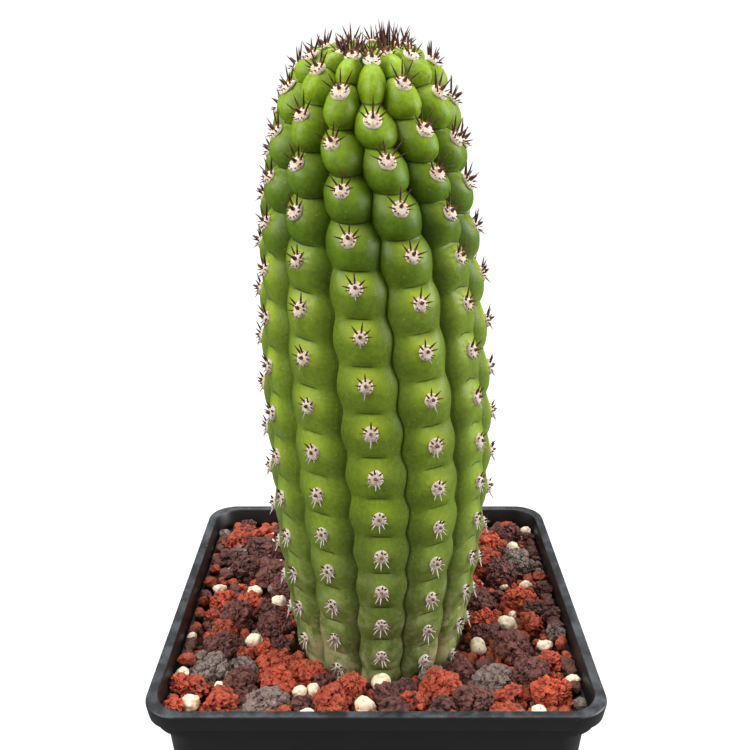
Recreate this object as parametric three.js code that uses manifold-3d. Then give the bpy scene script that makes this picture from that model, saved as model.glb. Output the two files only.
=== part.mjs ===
// A tall ribbed cactus in a square plastic nursery pot filled with lava and pumice gravel.
// Millimetres, +Z up, origin at the centre of the pot's flat base. The front of the plant faces -Y.
import * as THREE from "three";
import { mergeVertices } from "three/addons/utils/BufferGeometryUtils.js";
import Module from "manifold-3d";

const wasm = await Module();
wasm.setup();

const TURN = Math.PI * 2;
const FIT_GAP = 0.3; // clearance between pieces that only rest in one another

// Pot: a moulded square pot with rounded corners, a turned-over rim and a stacking shelf under it.
// Widths are from face to face and drops are measured down from the rim.
const RIM_WIDTH = 130;
const POT_HEIGHT = 120;
const BASE_WIDTH = 100;
const RIM_FACE = 3.1; // width of the flat top face of the rim
const RIM_ROUND = 0.6; // softened edges of the rim
const RIM_DRAFT = 0.6; // how far the rim's outer face leans in at its foot
const RIM_DROP = 5; // how far the turned-over rim hangs down outside
const COLLAR_INSET = 2.4; // from the rim's outer face in to the collar under it
const COLLAR_DROP = 8.2; // outside, where the collar ends and the wall steps in
const WALL_INSET = 5; // from the rim's outer face in to the top of the tapering wall
const WALL_DROP = 9.8;
const WALL = 1.4;
const FLOOR = 2;
const FOOT_ROUND = 1.2;
const SHELF_DROP = 7.6; // inside, where the shelf begins
const SHELF_FALL = 0.8;
const CORNER_RADIUS = 10; // of the rim's outer edge
const CORNER_TIGHTENING = 0.16; // how fast the corners sharpen as the pot narrows
const CORNER_STEPS = 5;
const DRAIN_RADIUS = 4.5;
const DRAIN_OFFSET = 30; // of the four drain holes, from the middle along X and along Y

// Gravel: a bed of mixed grit, banked up towards the walls, with loose stones lying on it.
const BED_LEVEL = POT_HEIGHT - 14.5; // round the stem
const BED_BANK = { rise: 5.5, from: 28, to: 58 }; // from the middle of the pot out to the walls
const BACK_BANK = { rise: 2.5, from: 5, to: 50 }; // the bed also rises towards the back
const STONE_TOPS = [4.5, 8]; // how far the stones' tops stand above the bed
const STONE_FLATNESS = 0.85; // height of a stone over its width
const STONE_SEAT = 0.58; // a stone's middle is at most this share of its radius above the bed
const STONE_DROP = 2; // the highest stones end this far under the rim
const STONE_SEED = 20;
const STONE_CLOSENESS = 0.84; // neighbours' centres stay this share of their two radii apart
// The stones that catch the eye, as [x, y, radius]. Chance places the others round them.
const RED_LAVA = [
  [-31, -24, 7], [-50, 52, 4.5], [-53, 45, 4.5], [-53, 6, 4.5], [-55, -3, 3], [-54, -41, 3.5],
  [-45, -49, 4.5], [-30, -36, 5], [-13, -48, 6], [20, -39, 5.5], [52, -45, 5.5], [50, 8, 5.5],
  [36, 0, 5], [52, -7, 4.5], [40, -44, 4], [54, -29, 4], [11, -48, 4],
];
const DARK_LAVA = [
  [-47, -2, 5.5], [-50, -19, 6], [-54, 33, 4], [-41, -37, 5.5], [44, -18, 6], [47, -34, 5],
  [45, 24, 5.5], [54, 1, 3.5], [27, -26, 5.5], [28, -48, 5], [3, -42, 3.5], [-21, -49, 3.5],
];
const GREY_LAVA = [[-52, -31, 6], [-32, -46, 6], [36, -32, 6], [52, 31, 6], [-51, 37, 3.5]];
const PUMICE = [
  [-43, 16, 2.5], [-34, 12, 3], [-55, 14, 2.5], [-40, -13, 3], [-54, -49, 3.5], [-23, -39, 2.5],
  [-19, -38, 2.5], [-3, -49, 3.5], [33, -15, 3.5], [29, -40, 2.5], [52, 42, 2.5], [53, 17, 2.5],
  [44, -4, 4], [54, -19, 2.5], [47, -51, 2.5],
];
// Sizes of the stones that chance places: [radius, how many places are tried].
const STONE_SIZES = [[6.2, 200], [5, 400], [4, 600], [3, 300]];

// Stem: a barrel outline over the crests of the ribs, a little out of the vertical.
const STEM_RADIUS = 35;
const WAIST_LEVEL = POT_HEIGHT + 68; // where the stem is widest
const TIP_LEVEL = POT_HEIGHT + 167.5; // before the crown is tilted
const FOOT_LEVEL = BED_LEVEL - 16; // the cut-off underside of the buried stump
const SHOULDER_POWERS = [1.7, 4.5]; // of the superellipse from the waist to the tip
const BASE_NARROWING = 0.32; // share of the radius lost 100 mm below the waist
const STEM_Y = -3;
const STEM_X = { base: 1.3, tip: -2.6, from: POT_HEIGHT + 40, to: POT_HEIGHT + 140 };
const TIP_DIP = 1.5; // the growing point lies a little below the crown round it
// The crown faces a little to the front, so it rises by this share of the way to the back.
const CROWN_TILT = { rise: 0.18, from: POT_HEIGHT + 52, to: POT_HEIGHT + 144 };

// Spiral lattice: areole n lies 8/13 of a turn after areole n - 1, so every 13th is on the same rib.
// A row is the step from one areole of a rib to the next one down, and rows are counted from the tip.
const RIBS = 13;
const AREOLE_STEP = 8; // ribs from one areole to the next younger or older one
const ROW_SPACING = 12; // between areoles of one rib, along the surface
const CROWN_ROWS = 0.9; // over how many rows the areoles crowd together at the tip
const GROWTH_SPURT = { row: 9.4, rows: 2.5, extra: 4.1 }; // where the rows lie further apart
const FIRST_RIB_ANGLE = 0.01;
const RIB_LEAN = { angle: -0.17, from: POT_HEIGHT + 30, to: POT_HEIGHT + 155 };
const RIB_CURL = { angle: -0.22, from: POT_HEIGHT + 105, to: POT_HEIGHT + 155 };
// The ribs at the front are broader than those at the back, between two pairs of levels.
const RIB_SPREAD = {
  angle: 0.09, from: [POT_HEIGHT + 15, POT_HEIGHT + 45], to: [POT_HEIGHT + 120, POT_HEIGHT + 146],
};
// How many rows each rib has grown ahead of its neighbours, fully so between the two middle rows.
const RIB_LEAD = [0, 0, 0.12, -0.24, -0.16, 0, 0.08, -0.06, 0.05, -0.08, 0, 0.15, 0.04];
const LEAD_ROWS = [2, 7, 11.7, 19];
const TIP_PULL = { rows: 0.1, from: 4.6, to: 2.2 }; // the crown's rows are drawn to the tip
// Areoles of the crown that stand out of line: [number, ribs to the right, rows down].
const STRAYS = [
  [23, 0.1, -0.2], [26, 0.1, -0.2], [28, -0.05, -0.1], [31, 0, -0.35], [34, 0.1, -0.1], [36, -0.2, 0.1],
  [39, 0.1, 0], [44, -0.1, 0.2], [47, 0.1, 0], [49, 0.06, 0.12], [52, -0.1, 0.05], [62, 0, 0.1],
];
const STRAY_REACH = 0.55; // how far the skin round them follows, in ribs and rows

// Tubercles: swellings of the ribs, one under each areole, deep and separate where the stem is young.
// A pair is the value at the old foot and at the young tip, in mm unless it is a share.
const YOUTH_LEVELS = [POT_HEIGHT - 10, POT_HEIGHT + 160];
const FURROW_DEPTH = [1.5, 5];
const FURROW_DEPTH_LIMIT = 0.34; // as a share of the distance between ribs
const CREASE_DEPTH = [1, 3.6];
const CREASE_DEPTH_LIMIT = 0.24;
const RIB_FLATNESS = [3.4, 2.1]; // power of the fall from a rib's crest into its furrows
const CREASE_ABOVE = 0.39; // share of a row from an areole up to the crease over it
const FULLEST_BELOW = 0.12; // share of a row from an areole down to the fullest part of its tubercle
const CREASE_BEND = 0.14; // how far the creases sag at the furrows, as a share of a row
const CHIN_FALL = 0.85; // depth under a tubercle's chin over the depth above it
const FURROW_WAVE = [0.035, 0.13]; // how far the furrows swing to each side, as a share of a rib

// Areoles and spines. Each areole is a six-sided cushion with a smaller six-sided top.
const AREOLE_RADIUS = 2.7;
const AREOLE_TOP_RADIUS = 1.1;
const AREOLE_HEIGHT = 1.2;
// Each spine stands on two neighbouring sides of the top and points up the stem and to the side.
const SPINES = [
  { foot: [0, 1, 2], up: 3.2, aside: 1.9, out: 3.2 },
  { foot: [4, 5, 0], up: 3.2, aside: -1.9, out: 3.2 },
  { foot: [2, 3, 4], up: -2.6, aside: 0, out: 2.4 },
];
const CROWN_GAIN = 1.7; // young spines at the tip are longer by this factor
const SPINES_FROM = BED_LEVEL + 17; // the buried and lowest areoles have lost their spines

const mix = (a, b, t) => a + (b - a) * t;
const between = (t, from, to) => Math.min(1, Math.max(0, (t - from) / (to - from)));
const smooth = (t) => t ** 2 * (3 - 2 * t);
const wrap = (n) => ((n % RIBS) + RIBS) % RIBS;

// The same sequence of numbers from 0 to 1 on every run.
function randomFrom(seed) {
  let state = seed >>> 0;
  return () => {
    state = (Math.imul(state, 1664525) + 1013904223) >>> 0;
    return state / 2 ** 32;
  };
}

function solidOf(geometry) {
  const bare = geometry.index ? geometry.toNonIndexed() : geometry.clone();
  bare.deleteAttribute("normal");
  bare.deleteAttribute("uv");
  const merged = mergeVertices(bare, 1e-4);
  return new wasm.Manifold(
    new wasm.Mesh({
      numProp: 3,
      vertProperties: merged.attributes.position.array,
      triVerts: new Uint32Array(merged.index.array),
    }),
  );
}

function geometryOf(solid) {
  const mesh = solid.getMesh();
  const geometry = new THREE.BufferGeometry();
  geometry.setAttribute("position", new THREE.BufferAttribute(mesh.vertProperties, mesh.numProp));
  geometry.setIndex(new THREE.BufferAttribute(mesh.triVerts, 1));
  return geometry;
}

function indexed(points, triangles) {
  const geometry = new THREE.BufferGeometry();
  geometry.setAttribute("position", new THREE.Float32BufferAttribute(points.flat(), 3));
  geometry.setIndex(triangles.flat());
  return geometry;
}

// ---- Pot -------------------------------------------------------------------------------------

// A square of the given width with round corners, as points in order round +Z.
function roundedSquare(width, level) {
  const radius = Math.max(1, CORNER_RADIUS - CORNER_TIGHTENING * (RIM_WIDTH - width));
  const inner = width / 2 - radius;
  const points = [];
  for (let corner = 0; corner < 4; corner++) {
    const cx = corner === 0 || corner === 3 ? inner : -inner;
    const cy = corner < 2 ? inner : -inner;
    for (let i = 0; i <= CORNER_STEPS; i++) {
      const angle = ((corner + i / CORNER_STEPS) * TURN) / 4;
      points.push([cx + radius * Math.cos(angle), cy + radius * Math.sin(angle), level]);
    }
  }
  return points;
}

// A closed body through a list of [width, level] rings, capped with a fan at both ends.
// riseAt says how much higher a point lies than its ring.
function loft(rings, riseAt = () => 0) {
  const outlines = rings.map(([width, level]) =>
    roundedSquare(width, level).map(([x, y, z]) => [x, y, z + riseAt(y, z)]),
  );
  const count = outlines[0].length;
  const points = outlines.flat();
  const triangles = [];
  for (let start = 0; start + count < points.length; start += count) {
    for (let i = 0; i < count; i++) {
      const [a, b] = [start + i, start + ((i + 1) % count)];
      triangles.push([a, b, b + count], [a, b + count, a + count]);
    }
  }
  const last = points.length - count;
  const [low, high] = [points.length, points.length + 1];
  points.push([0, 0, rings[0][1]], [0, 0, rings.at(-1)[1]]);
  for (let i = 0; i < count; i++) {
    const j = (i + 1) % count;
    triangles.push([low, j, i], [high, last + i, last + j]);
  }
  return solidOf(indexed(points, triangles));
}

const WALL_TOP = { width: RIM_WIDTH - 2 * WALL_INSET, level: POT_HEIGHT - WALL_DROP };
const SHELF_LEVEL = POT_HEIGHT - SHELF_DROP - SHELF_FALL; // the shelf's lower, inner edge
const wallWidthAt = (level) => mix(BASE_WIDTH, WALL_TOP.width, level / WALL_TOP.level);

// The rings of the pot's inside from the floor up, or of a body that clears it by a gap.
function insideRings(gap) {
  const wall = 2 * (WALL + gap);
  const collar = RIM_WIDTH - 2 * (COLLAR_INSET + WALL + gap);
  return [
    [wallWidthAt(FLOOR) - wall, FLOOR + gap],
    [wallWidthAt(SHELF_LEVEL) - wall, SHELF_LEVEL],
    [collar, SHELF_LEVEL + SHELF_FALL + gap],
  ];
}

function makePot() {
  const rimInside = RIM_WIDTH - 2 * RIM_FACE;
  const rimFoot = POT_HEIGHT - RIM_DROP;
  const collar = RIM_WIDTH - 2 * COLLAR_INSET;
  const outside = loft([
    [BASE_WIDTH - 2 * FOOT_ROUND, 0],
    [wallWidthAt(FOOT_ROUND), FOOT_ROUND],
    [WALL_TOP.width, WALL_TOP.level],
    [collar - 0.4, POT_HEIGHT - COLLAR_DROP],
    [collar, rimFoot],
    [RIM_WIDTH - 2 * (RIM_DRAFT + RIM_ROUND), rimFoot],
    [RIM_WIDTH - 2 * RIM_DRAFT, rimFoot + RIM_ROUND],
    [RIM_WIDTH, POT_HEIGHT - RIM_ROUND],
    [RIM_WIDTH - 2 * RIM_ROUND, POT_HEIGHT],
  ]);
  const inside = loft([
    ...insideRings(0),
    [rimInside - RIM_ROUND, POT_HEIGHT - RIM_ROUND],
    [rimInside + RIM_ROUND, POT_HEIGHT + RIM_ROUND],
  ]);
  let pot = outside.subtract(inside);
  for (const x of [-DRAIN_OFFSET, DRAIN_OFFSET]) {
    for (const y of [-DRAIN_OFFSET, DRAIN_OFFSET]) {
      const drill = new THREE.CylinderGeometry(DRAIN_RADIUS, DRAIN_RADIUS, 4 * FLOOR, 12);
      drill.rotateX(TURN / 4).translate(x, y, 0);
      pot = pot.subtract(solidOf(drill));
    }
  }
  return pot;
}

// ---- Gravel ----------------------------------------------------------------------------------

const backRiseAt = (y) => BACK_BANK.rise * between(y, BACK_BANK.from, BACK_BANK.to);

function bedLevelAt(x, y) {
  const outward = between(Math.max(Math.abs(x), Math.abs(y)), BED_BANK.from, BED_BANK.to);
  return BED_LEVEL + BED_BANK.rise * outward + backRiseAt(y);
}

// Where the stones lie, as {x, y, radius, level}, the level being that of the stone's middle.
function layStones() {
  const random = randomFrom(STONE_SEED);
  const stones = [];
  const lay = (x, y, radius) => {
    const rise = mix(...STONE_TOPS, random()) - STONE_FLATNESS * radius;
    const level = bedLevelAt(x, y) + Math.min(rise, STONE_SEAT * radius);
    const highest = POT_HEIGHT - STONE_DROP - STONE_FLATNESS * radius;
    stones.push({ x, y, radius, level: Math.min(level, highest) });
  };
  const placed = [...RED_LAVA, ...DARK_LAVA, ...GREY_LAVA, ...PUMICE];
  for (const [x, y, radius] of placed) lay(x, y, radius);
  for (const [size, tries] of STONE_SIZES) {
    for (let i = 0; i < tries; i++) {
      const radius = size * mix(0.86, 1.14, random());
      const reach = wallWidthAt(BED_LEVEL) / 2 - WALL - radius;
      const x = mix(-reach, reach, random());
      const y = mix(-reach, reach, random());
      const fromStem = Math.hypot(x - STEM_X.base, y - STEM_Y) - radius;
      const clear = stones.every(
        (s) => Math.hypot(x - s.x, y - s.y) > STONE_CLOSENESS * (s.radius + radius),
      );
      if (clear && fromStem > stemRadiusAt(BED_LEVEL)) lay(x, y, radius);
    }
  }
  return stones;
}

// One rough stone: an icosahedron with each corner pushed in or out by chance.
function makeStone({ x, y, radius, level }, random) {
  const ball = new THREE.IcosahedronGeometry(1, 0);
  ball.deleteAttribute("normal");
  ball.deleteAttribute("uv");
  const stone = mergeVertices(ball);
  const place = stone.attributes.position;
  const turn = random() * TURN;
  for (let i = 0; i < place.count; i++) {
    const reach = radius * mix(0.88, 1.12, random());
    const [px, py, pz] = [place.getX(i), place.getY(i), place.getZ(i)];
    place.setXYZ(i, px * reach, py * reach, pz * reach * STONE_FLATNESS);
  }
  stone.rotateZ(turn).translate(x, y, level);
  return solidOf(stone);
}

// The hole that the stem stands in: snug in the bed, wide enough for its areoles above it.
function makeStemHole() {
  const radiusAt = (level) => stemRadiusAt(level) + FIT_GAP;
  const wide = AREOLE_HEIGHT + FIT_GAP;
  const top = POT_HEIGHT + 1;
  const profile = [
    [0, FOOT_LEVEL - FIT_GAP],
    [radiusAt(FOOT_LEVEL), FOOT_LEVEL - FIT_GAP],
    [radiusAt(BED_LEVEL), BED_LEVEL],
    [radiusAt(BED_LEVEL) + wide, BED_LEVEL + wide],
    [radiusAt(top) + wide, top],
    [0, top],
  ];
  const hole = new THREE.LatheGeometry(profile.map((p) => new THREE.Vector2(...p)), 48);
  hole.rotateX(TURN / 4).translate(STEM_X.base, STEM_Y, 0);
  return solidOf(hole);
}

function makeGravel() {
  const [floor, shelf, collar] = insideRings(FIT_GAP);
  const bankTop = BED_LEVEL + BED_BANK.rise;
  const bankWidth = wallWidthAt(bankTop) - 2 * (WALL + FIT_GAP);
  const bed = loft(
    [floor, [bankWidth, bankTop], [2 * BED_BANK.from, BED_LEVEL]],
    (y, level) => (level < BED_LEVEL ? 0 : backRiseAt(y)),
  );
  const room = loft([floor, shelf, collar, [collar[0], POT_HEIGHT]]);
  const random = randomFrom(STONE_SEED + 1);
  const stones = layStones().map((stone) => makeStone(stone, random));
  return wasm.Manifold.union([bed, ...stones]).intersect(room).subtract(makeStemHole());
}

// ---- Stem ------------------------------------------------------------------------------------

function stemRadiusAt(level) {
  if (level <= WAIST_LEVEL) {
    return STEM_RADIUS * (1 - BASE_NARROWING * ((WAIST_LEVEL - level) / 100) ** 2);
  }
  const rise = Math.min(1, (level - WAIST_LEVEL) / (TIP_LEVEL - WAIST_LEVEL));
  return STEM_RADIUS * (1 - rise ** SHOULDER_POWERS[0]) ** (1 / SHOULDER_POWERS[1]);
}

function stemXAt(level) {
  return mix(STEM_X.base, STEM_X.tip, smooth(between(level, STEM_X.from, STEM_X.to)));
}

// The outline from the tip down as {radius, level, run}, run being the distance along it.
function traceOutline() {
  const levels = [];
  const steps = 160;
  for (let i = 0; i <= steps; i++) {
    levels.push(mix(TIP_LEVEL, WAIST_LEVEL, (i / steps) ** SHOULDER_POWERS[1]));
  }
  for (let level = WAIST_LEVEL - 1; level > FOOT_LEVEL - 2 * ROW_SPACING; level--) levels.push(level);
  const outline = [];
  for (const level of levels) {
    const radius = stemRadiusAt(level);
    const last = outline.at(-1);
    const run = last ? last.run + Math.hypot(radius - last.radius, level - last.level) : 0;
    outline.push({ radius, level, run });
  }
  return outline;
}
const OUTLINE = traceOutline();

// The outline's point and outward direction at a distance from the tip.
function outlineAt(run) {
  let i = OUTLINE.findIndex((p) => p.run > run);
  if (i < 0) i = OUTLINE.length - 1;
  if (i === 0) i = 1;
  const [a, b] = [OUTLINE[i - 1], OUTLINE[i]];
  const t = (run - a.run) / (b.run - a.run);
  const length = b.run - a.run;
  const out = [(a.level - b.level) / length, (b.radius - a.radius) / length];
  return { radius: mix(a.radius, b.radius, t), level: mix(a.level, b.level, t), out };
}

// Distance from the tip at a row of the lattice.
function runAt(row) {
  const crowding = CROWN_ROWS * (1 - Math.exp(-row / CROWN_ROWS));
  const spurt = Math.tanh((row - GROWTH_SPURT.row) / GROWTH_SPURT.rows) + 1;
  return ROW_SPACING * (row - crowding) + GROWTH_SPURT.extra * spurt;
}

const spacingAt = (row) => (runAt(row + 0.01) - runAt(row - 0.01)) / 0.02;

// Row of the lattice at a level on the long flank of the stem.
function rowAt(level) {
  let row = 0;
  while (outlineAt(runAt(row)).level > level) row += 0.02;
  return row;
}

// How far the skin lies below the crest outline. side counts ribs to the right, row counts down.
function skinDepth(side, row, place) {
  const youth = smooth(between(place.level, ...YOUTH_LEVELS));
  const pitch = (TURN * place.radius) / RIBS;
  const furrow = Math.min(mix(...FURROW_DEPTH, youth), FURROW_DEPTH_LIMIT * pitch);
  const crease = Math.min(mix(...CREASE_DEPTH, youth), CREASE_DEPTH_LIMIT * pitch);
  const flatness = mix(...RIB_FLATNESS, youth);
  const depths = [];
  for (let rib = Math.floor(side) - 1; rib <= Math.floor(side) + 2; rib++) {
    const across = 2 * Math.abs(side - rib);
    const phase = wrap(5 * rib) / RIBS; // of the rib's areoles, in rows
    const nearest = Math.round(row - phase) + phase;
    for (const areole of [nearest - 1, nearest, nearest + 1]) {
      const above = areole + FULLEST_BELOW - row;
      const bend = CREASE_BEND * across ** 2;
      const upward = (bend + above) / (CREASE_ABOVE + FULLEST_BELOW);
      const downward = (bend - above) / (1 - CREASE_ABOVE - FULLEST_BELOW);
      const fall = above > 0 ? upward ** 2 : CHIN_FALL * downward ** 3;
      depths.push(furrow * across ** flatness + crease * fall);
    }
  }
  return Math.min(...depths);
}

const ribTwistAt = (level) =>
  RIB_LEAN.angle * between(level, RIB_LEAN.from, RIB_LEAN.to) +
  RIB_CURL.angle * between(level, RIB_CURL.from, RIB_CURL.to) ** 2;

function ribSpreadAt(level) {
  const [low, full] = RIB_SPREAD.from;
  const [end, high] = RIB_SPREAD.to;
  return RIB_SPREAD.angle * smooth(between(level, low, full)) * smooth(between(level, high, end));
}

// Where a place of the even lattice really lies, as [side, row].
function grownPlace(side, row) {
  const rib = Math.floor(side);
  const lead = mix(RIB_LEAD[wrap(rib)], RIB_LEAD[wrap(rib + 1)], side - rib);
  const share = between(row, LEAD_ROWS[0], LEAD_ROWS[1]) * smooth(between(row, LEAD_ROWS[3], LEAD_ROWS[2]));
  const pull = TIP_PULL.rows * smooth(between(row, TIP_PULL.from, TIP_PULL.to)) * between(row, 0, 1);
  let [grownSide, grownRow] = [side, row - lead * share - pull];
  for (const [n, aside, down] of STRAYS) {
    const across = wrap(side - AREOLE_STEP * n + RIBS / 2) - RIBS / 2;
    const distance = Math.hypot(across, row - n / RIBS) / STRAY_REACH;
    const nearness = Math.exp(-distance * distance);
    grownSide += aside * nearness;
    grownRow += down * nearness;
  }
  return [grownSide, grownRow];
}

// A point of the stem from lattice coordinates, lift being a distance out from the skin.
function stemPoint(side, row, lift = 0) {
  const [grownSide, grownRow] = grownPlace(side, row);
  const place = outlineAt(runAt(grownRow));
  const evenAngle = FIRST_RIB_ANGLE + (grownSide * TURN) / RIBS + ribTwistAt(place.level);
  const angle = evenAngle + ribSpreadAt(place.level) * Math.sin(evenAngle);
  const out = lift - skinDepth(side, row, place);
  const radius = place.radius + out * place.out[0];
  const y = STEM_Y - radius * Math.cos(angle);
  const level = place.level + out * place.out[1];
  return [stemXAt(place.level) + radius * Math.sin(angle), y, level + crownRise(y, place.level)];
}

// How far the tilt of the crown lifts a point, from none at the front of the stem.
function crownRise(y, level) {
  const share = smooth(between(level, CROWN_TILT.from, CROWN_TILT.to));
  return CROWN_TILT.rise * share * (y - STEM_Y + STEM_RADIUS);
}

// The corners of a tubercle's bulge, from its areole: [share of a rib across, share of a level down].
const BULGE = [[0.26, 0.31], [-0.26, 0.34], [-0.33, 0.1], [-0.26, -0.23], [0.26, -0.27], [0.33, 0.02]];
const FIRST_ROW = 0.45; // nearer the tip everything runs together in one point
const FIRST_AREOLE_ROW = 0.85;

// The stem as one tile for each areole, which shares its edge with the tiles round it.
function makeStem() {
  const points = [
    [stemXAt(TIP_LEVEL), STEM_Y, TIP_LEVEL - TIP_DIP + crownRise(STEM_Y, TIP_LEVEL)],
    [STEM_X.base, STEM_Y, FOOT_LEVEL],
  ];
  const [tip, foot] = [0, 1];
  const triangles = [];
  const known = new Map();
  const lastAreoleRow = rowAt(BED_LEVEL + AREOLE_RADIUS + 0.8);
  const lastRow = rowAt(FOOT_LEVEL + 4);

  // A named corner of the skin, made once however many tiles ask for it.
  const corner = (name, side, row, lift = 0) => {
    if (row < FIRST_ROW) return tip;
    if (row > lastRow) return foot;
    if (!known.has(name)) {
      known.set(name, points.length);
      points.push(stemPoint(side, row, lift));
    }
    return known.get(name);
  };
  const face = (a, b, c) => {
    if (a !== b && b !== c && c !== a) triangles.push([a, b, c]);
  };

  // The tile's edge: furrow corners F and G to its right, and the middle M of the crease above it.
  const below = 0.5 - CREASE_ABOVE; // from an areole down to the middle of its tile
  const waveAt = (row) => {
    const { level } = outlineAt(runAt(Math.max(row, FIRST_ROW)));
    return mix(...FURROW_WAVE, smooth(between(level, ...YOUTH_LEVELS)));
  };
  const furrowUpper = (n) => {
    const row = n / RIBS + below - 7 / RIBS;
    return corner(`F${n}`, wrap(AREOLE_STEP * n) + 0.5 - waveAt(row), row);
  };
  const furrowLower = (n) => {
    const row = n / RIBS + below - 1 / RIBS;
    return corner(`G${n}`, wrap(AREOLE_STEP * n) + 0.5 + waveAt(row), row);
  };
  const crease = (n) => corner(`M${n}`, wrap(AREOLE_STEP * n), n / RIBS - CREASE_ABOVE);
  const edgeOf = (n) => [
    furrowLower(n - 5), crease(n), furrowUpper(n), furrowLower(n),
    furrowUpper(n + RIBS), crease(n + RIBS), furrowLower(n + 8), furrowUpper(n + 8),
  ];

  // A cushion of wool on the bulge, with its spines.
  const addAreole = (n, bulge) => {
    const [side, row] = [wrap(AREOLE_STEP * n), n / RIBS];
    const place = outlineAt(runAt(row));
    const pitch = (TURN * place.radius) / RIBS;
    const crowding = Math.min(1, (0.3 * pitch) / AREOLE_RADIUS);
    const at = (name, radius, i, lift) => {
      const angle = ((i - 1.5) / 6) * TURN;
      const across = (radius * crowding * Math.cos(angle)) / pitch;
      const down = (radius * crowding * Math.sin(angle)) / spacingAt(row);
      return corner(name, side + across, row + down, lift);
    };
    const rim = BULGE.map((_, i) => at(`A${n}_${i}`, AREOLE_RADIUS, i, 0));
    const top = BULGE.map((_, i) => at(`T${n}_${i}`, AREOLE_TOP_RADIUS, i, AREOLE_HEIGHT * crowding));
    for (let i = 0; i < 6; i++) {
      const j = (i + 1) % 6;
      face(rim[i], bulge[j], bulge[i]);
      face(rim[i], rim[j], bulge[j]);
      face(top[i], rim[j], rim[i]);
      face(top[i], top[j], rim[j]);
    }
    face(top[4], top[2], top[0]);
    const youth = smooth(between(place.level, WAIST_LEVEL, TIP_LEVEL));
    const gain = mix(1, CROWN_GAIN, youth);
    SPINES.forEach(({ foot, up, aside, out }, i) => {
      const [a, b, c] = foot.map((k) => top[k]);
      if (place.level < SPINES_FROM) {
        face(c, b, a);
        return;
      }
      const lean = crowding * gain;
      const end = corner(
        `S${n}_${i}`, side + (aside * lean) / pitch, row - (up * lean) / spacingAt(row),
        AREOLE_HEIGHT + out * gain,
      );
      face(b, a, end);
      face(c, b, end);
      face(a, c, end);
    });
  };

  for (let n = -RIBS; n <= (lastRow + 1) * RIBS; n++) {
    const [side, row] = [wrap(AREOLE_STEP * n), n / RIBS];
    const edge = edgeOf(n);
    if (row < FIRST_AREOLE_ROW || row > lastAreoleRow) {
      const middle = corner(`C${n}`, side, row);
      edge.forEach((point, i) => face(middle, edge[(i + 1) % 8], point));
      continue;
    }
    const bulge = BULGE.map(([x, y], i) => corner(`B${n}_${i}`, side - x, row - y));
    const spans = [[0, 1, 2], [2, 3], [3, 4], [4, 5, 6], [6, 7], [7, 0]];
    spans.forEach((span, i) => {
      const next = bulge[(i + 1) % 6];
      const [a, b, c] = span.map((k) => edge[k]);
      face(bulge[i], b, a);
      face(bulge[i], next, b);
      if (c !== undefined) face(next, c, b);
    });
    addAreole(n, bulge);
  }
  return solidOf(indexed(points, triangles));
}

// ---- The whole part --------------------------------------------------------------------------

function subPart(name, solid, color, roughness) {
  const material = new THREE.MeshStandardMaterial({ color, roughness, metalness: 0 });
  const mesh = new THREE.Mesh(geometryOf(solid), material);
  mesh.name = name;
  return mesh;
}

const pottedCactus = new THREE.Group();
pottedCactus.add(
  subPart("pot", makePot(), 0x1f2022, 0.5),
  subPart("gravel", makeGravel(), 0x6b3a30, 0.95),
  subPart("cactus", makeStem(), 0x6f9a32, 0.45),
);

export default pottedCactus;
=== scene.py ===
"""A tall ribbed cactus in a square plastic nursery pot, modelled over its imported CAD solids."""

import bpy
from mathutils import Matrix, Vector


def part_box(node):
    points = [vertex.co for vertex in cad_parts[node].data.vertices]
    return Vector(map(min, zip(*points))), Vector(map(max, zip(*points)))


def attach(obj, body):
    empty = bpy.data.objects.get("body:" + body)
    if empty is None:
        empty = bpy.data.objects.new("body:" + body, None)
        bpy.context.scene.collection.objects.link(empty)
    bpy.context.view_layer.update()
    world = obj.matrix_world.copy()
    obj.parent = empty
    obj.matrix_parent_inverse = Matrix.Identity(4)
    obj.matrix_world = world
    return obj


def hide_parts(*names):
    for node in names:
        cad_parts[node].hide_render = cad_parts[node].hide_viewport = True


bl_info = {
    "name": "Potted tall cactus",
    "version": (1, 0, 0),
    "blender": (4, 5, 0),
    "location": "3D View > Sidebar > Cactus",
    "description": "Models a ribbed cactus, its lava gravel and its pot, and a studio round them",
    "category": "Object",
}

import math
import random
from contextlib import contextmanager

import bpy
import numpy as np
from mathutils import Euler, Matrix, Quaternion, Vector, noise

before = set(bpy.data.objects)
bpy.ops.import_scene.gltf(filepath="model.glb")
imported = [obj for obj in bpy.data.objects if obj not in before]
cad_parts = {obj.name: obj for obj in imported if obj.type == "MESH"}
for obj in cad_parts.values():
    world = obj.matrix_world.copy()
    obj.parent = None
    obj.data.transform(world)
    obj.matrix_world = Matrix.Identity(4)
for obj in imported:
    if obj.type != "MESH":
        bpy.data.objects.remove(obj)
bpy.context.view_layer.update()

TURN = 2 * math.pi
MM = 0.001

# Levels and widths of the CAD solids, in millimetres.
POT_LOW, POT_HIGH = (Vector(corner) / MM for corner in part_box("pot"))
POT_HEIGHT = round(POT_HIGH.z, 1)
RIM_WIDTH = round(POT_HIGH.x - POT_LOW.x, 1)
BASE_WIDTH = 100.0
BED_LEVEL = POT_HEIGHT - 14.5
FOOT_LEVEL = BED_LEVEL - 16
HOLE_X = 1.4  # the middle of the gravel's hole for the stem


def srgb(code):
    """A linear colour from an sRGB hex value."""
    parts = [int(code.lstrip("#")[i : i + 2], 16) / 255 for i in (0, 2, 4)]
    linear = [c / 12.92 if c <= 0.04045 else ((c + 0.055) / 1.055) ** 2.4 for c in parts]
    return (*linear, 1.0)


def colour(name, description, code):
    return bpy.props.FloatVectorProperty(
        name=name, description=description, default=srgb(code), size=4, min=0, max=1, subtype="COLOR"
    )


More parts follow.
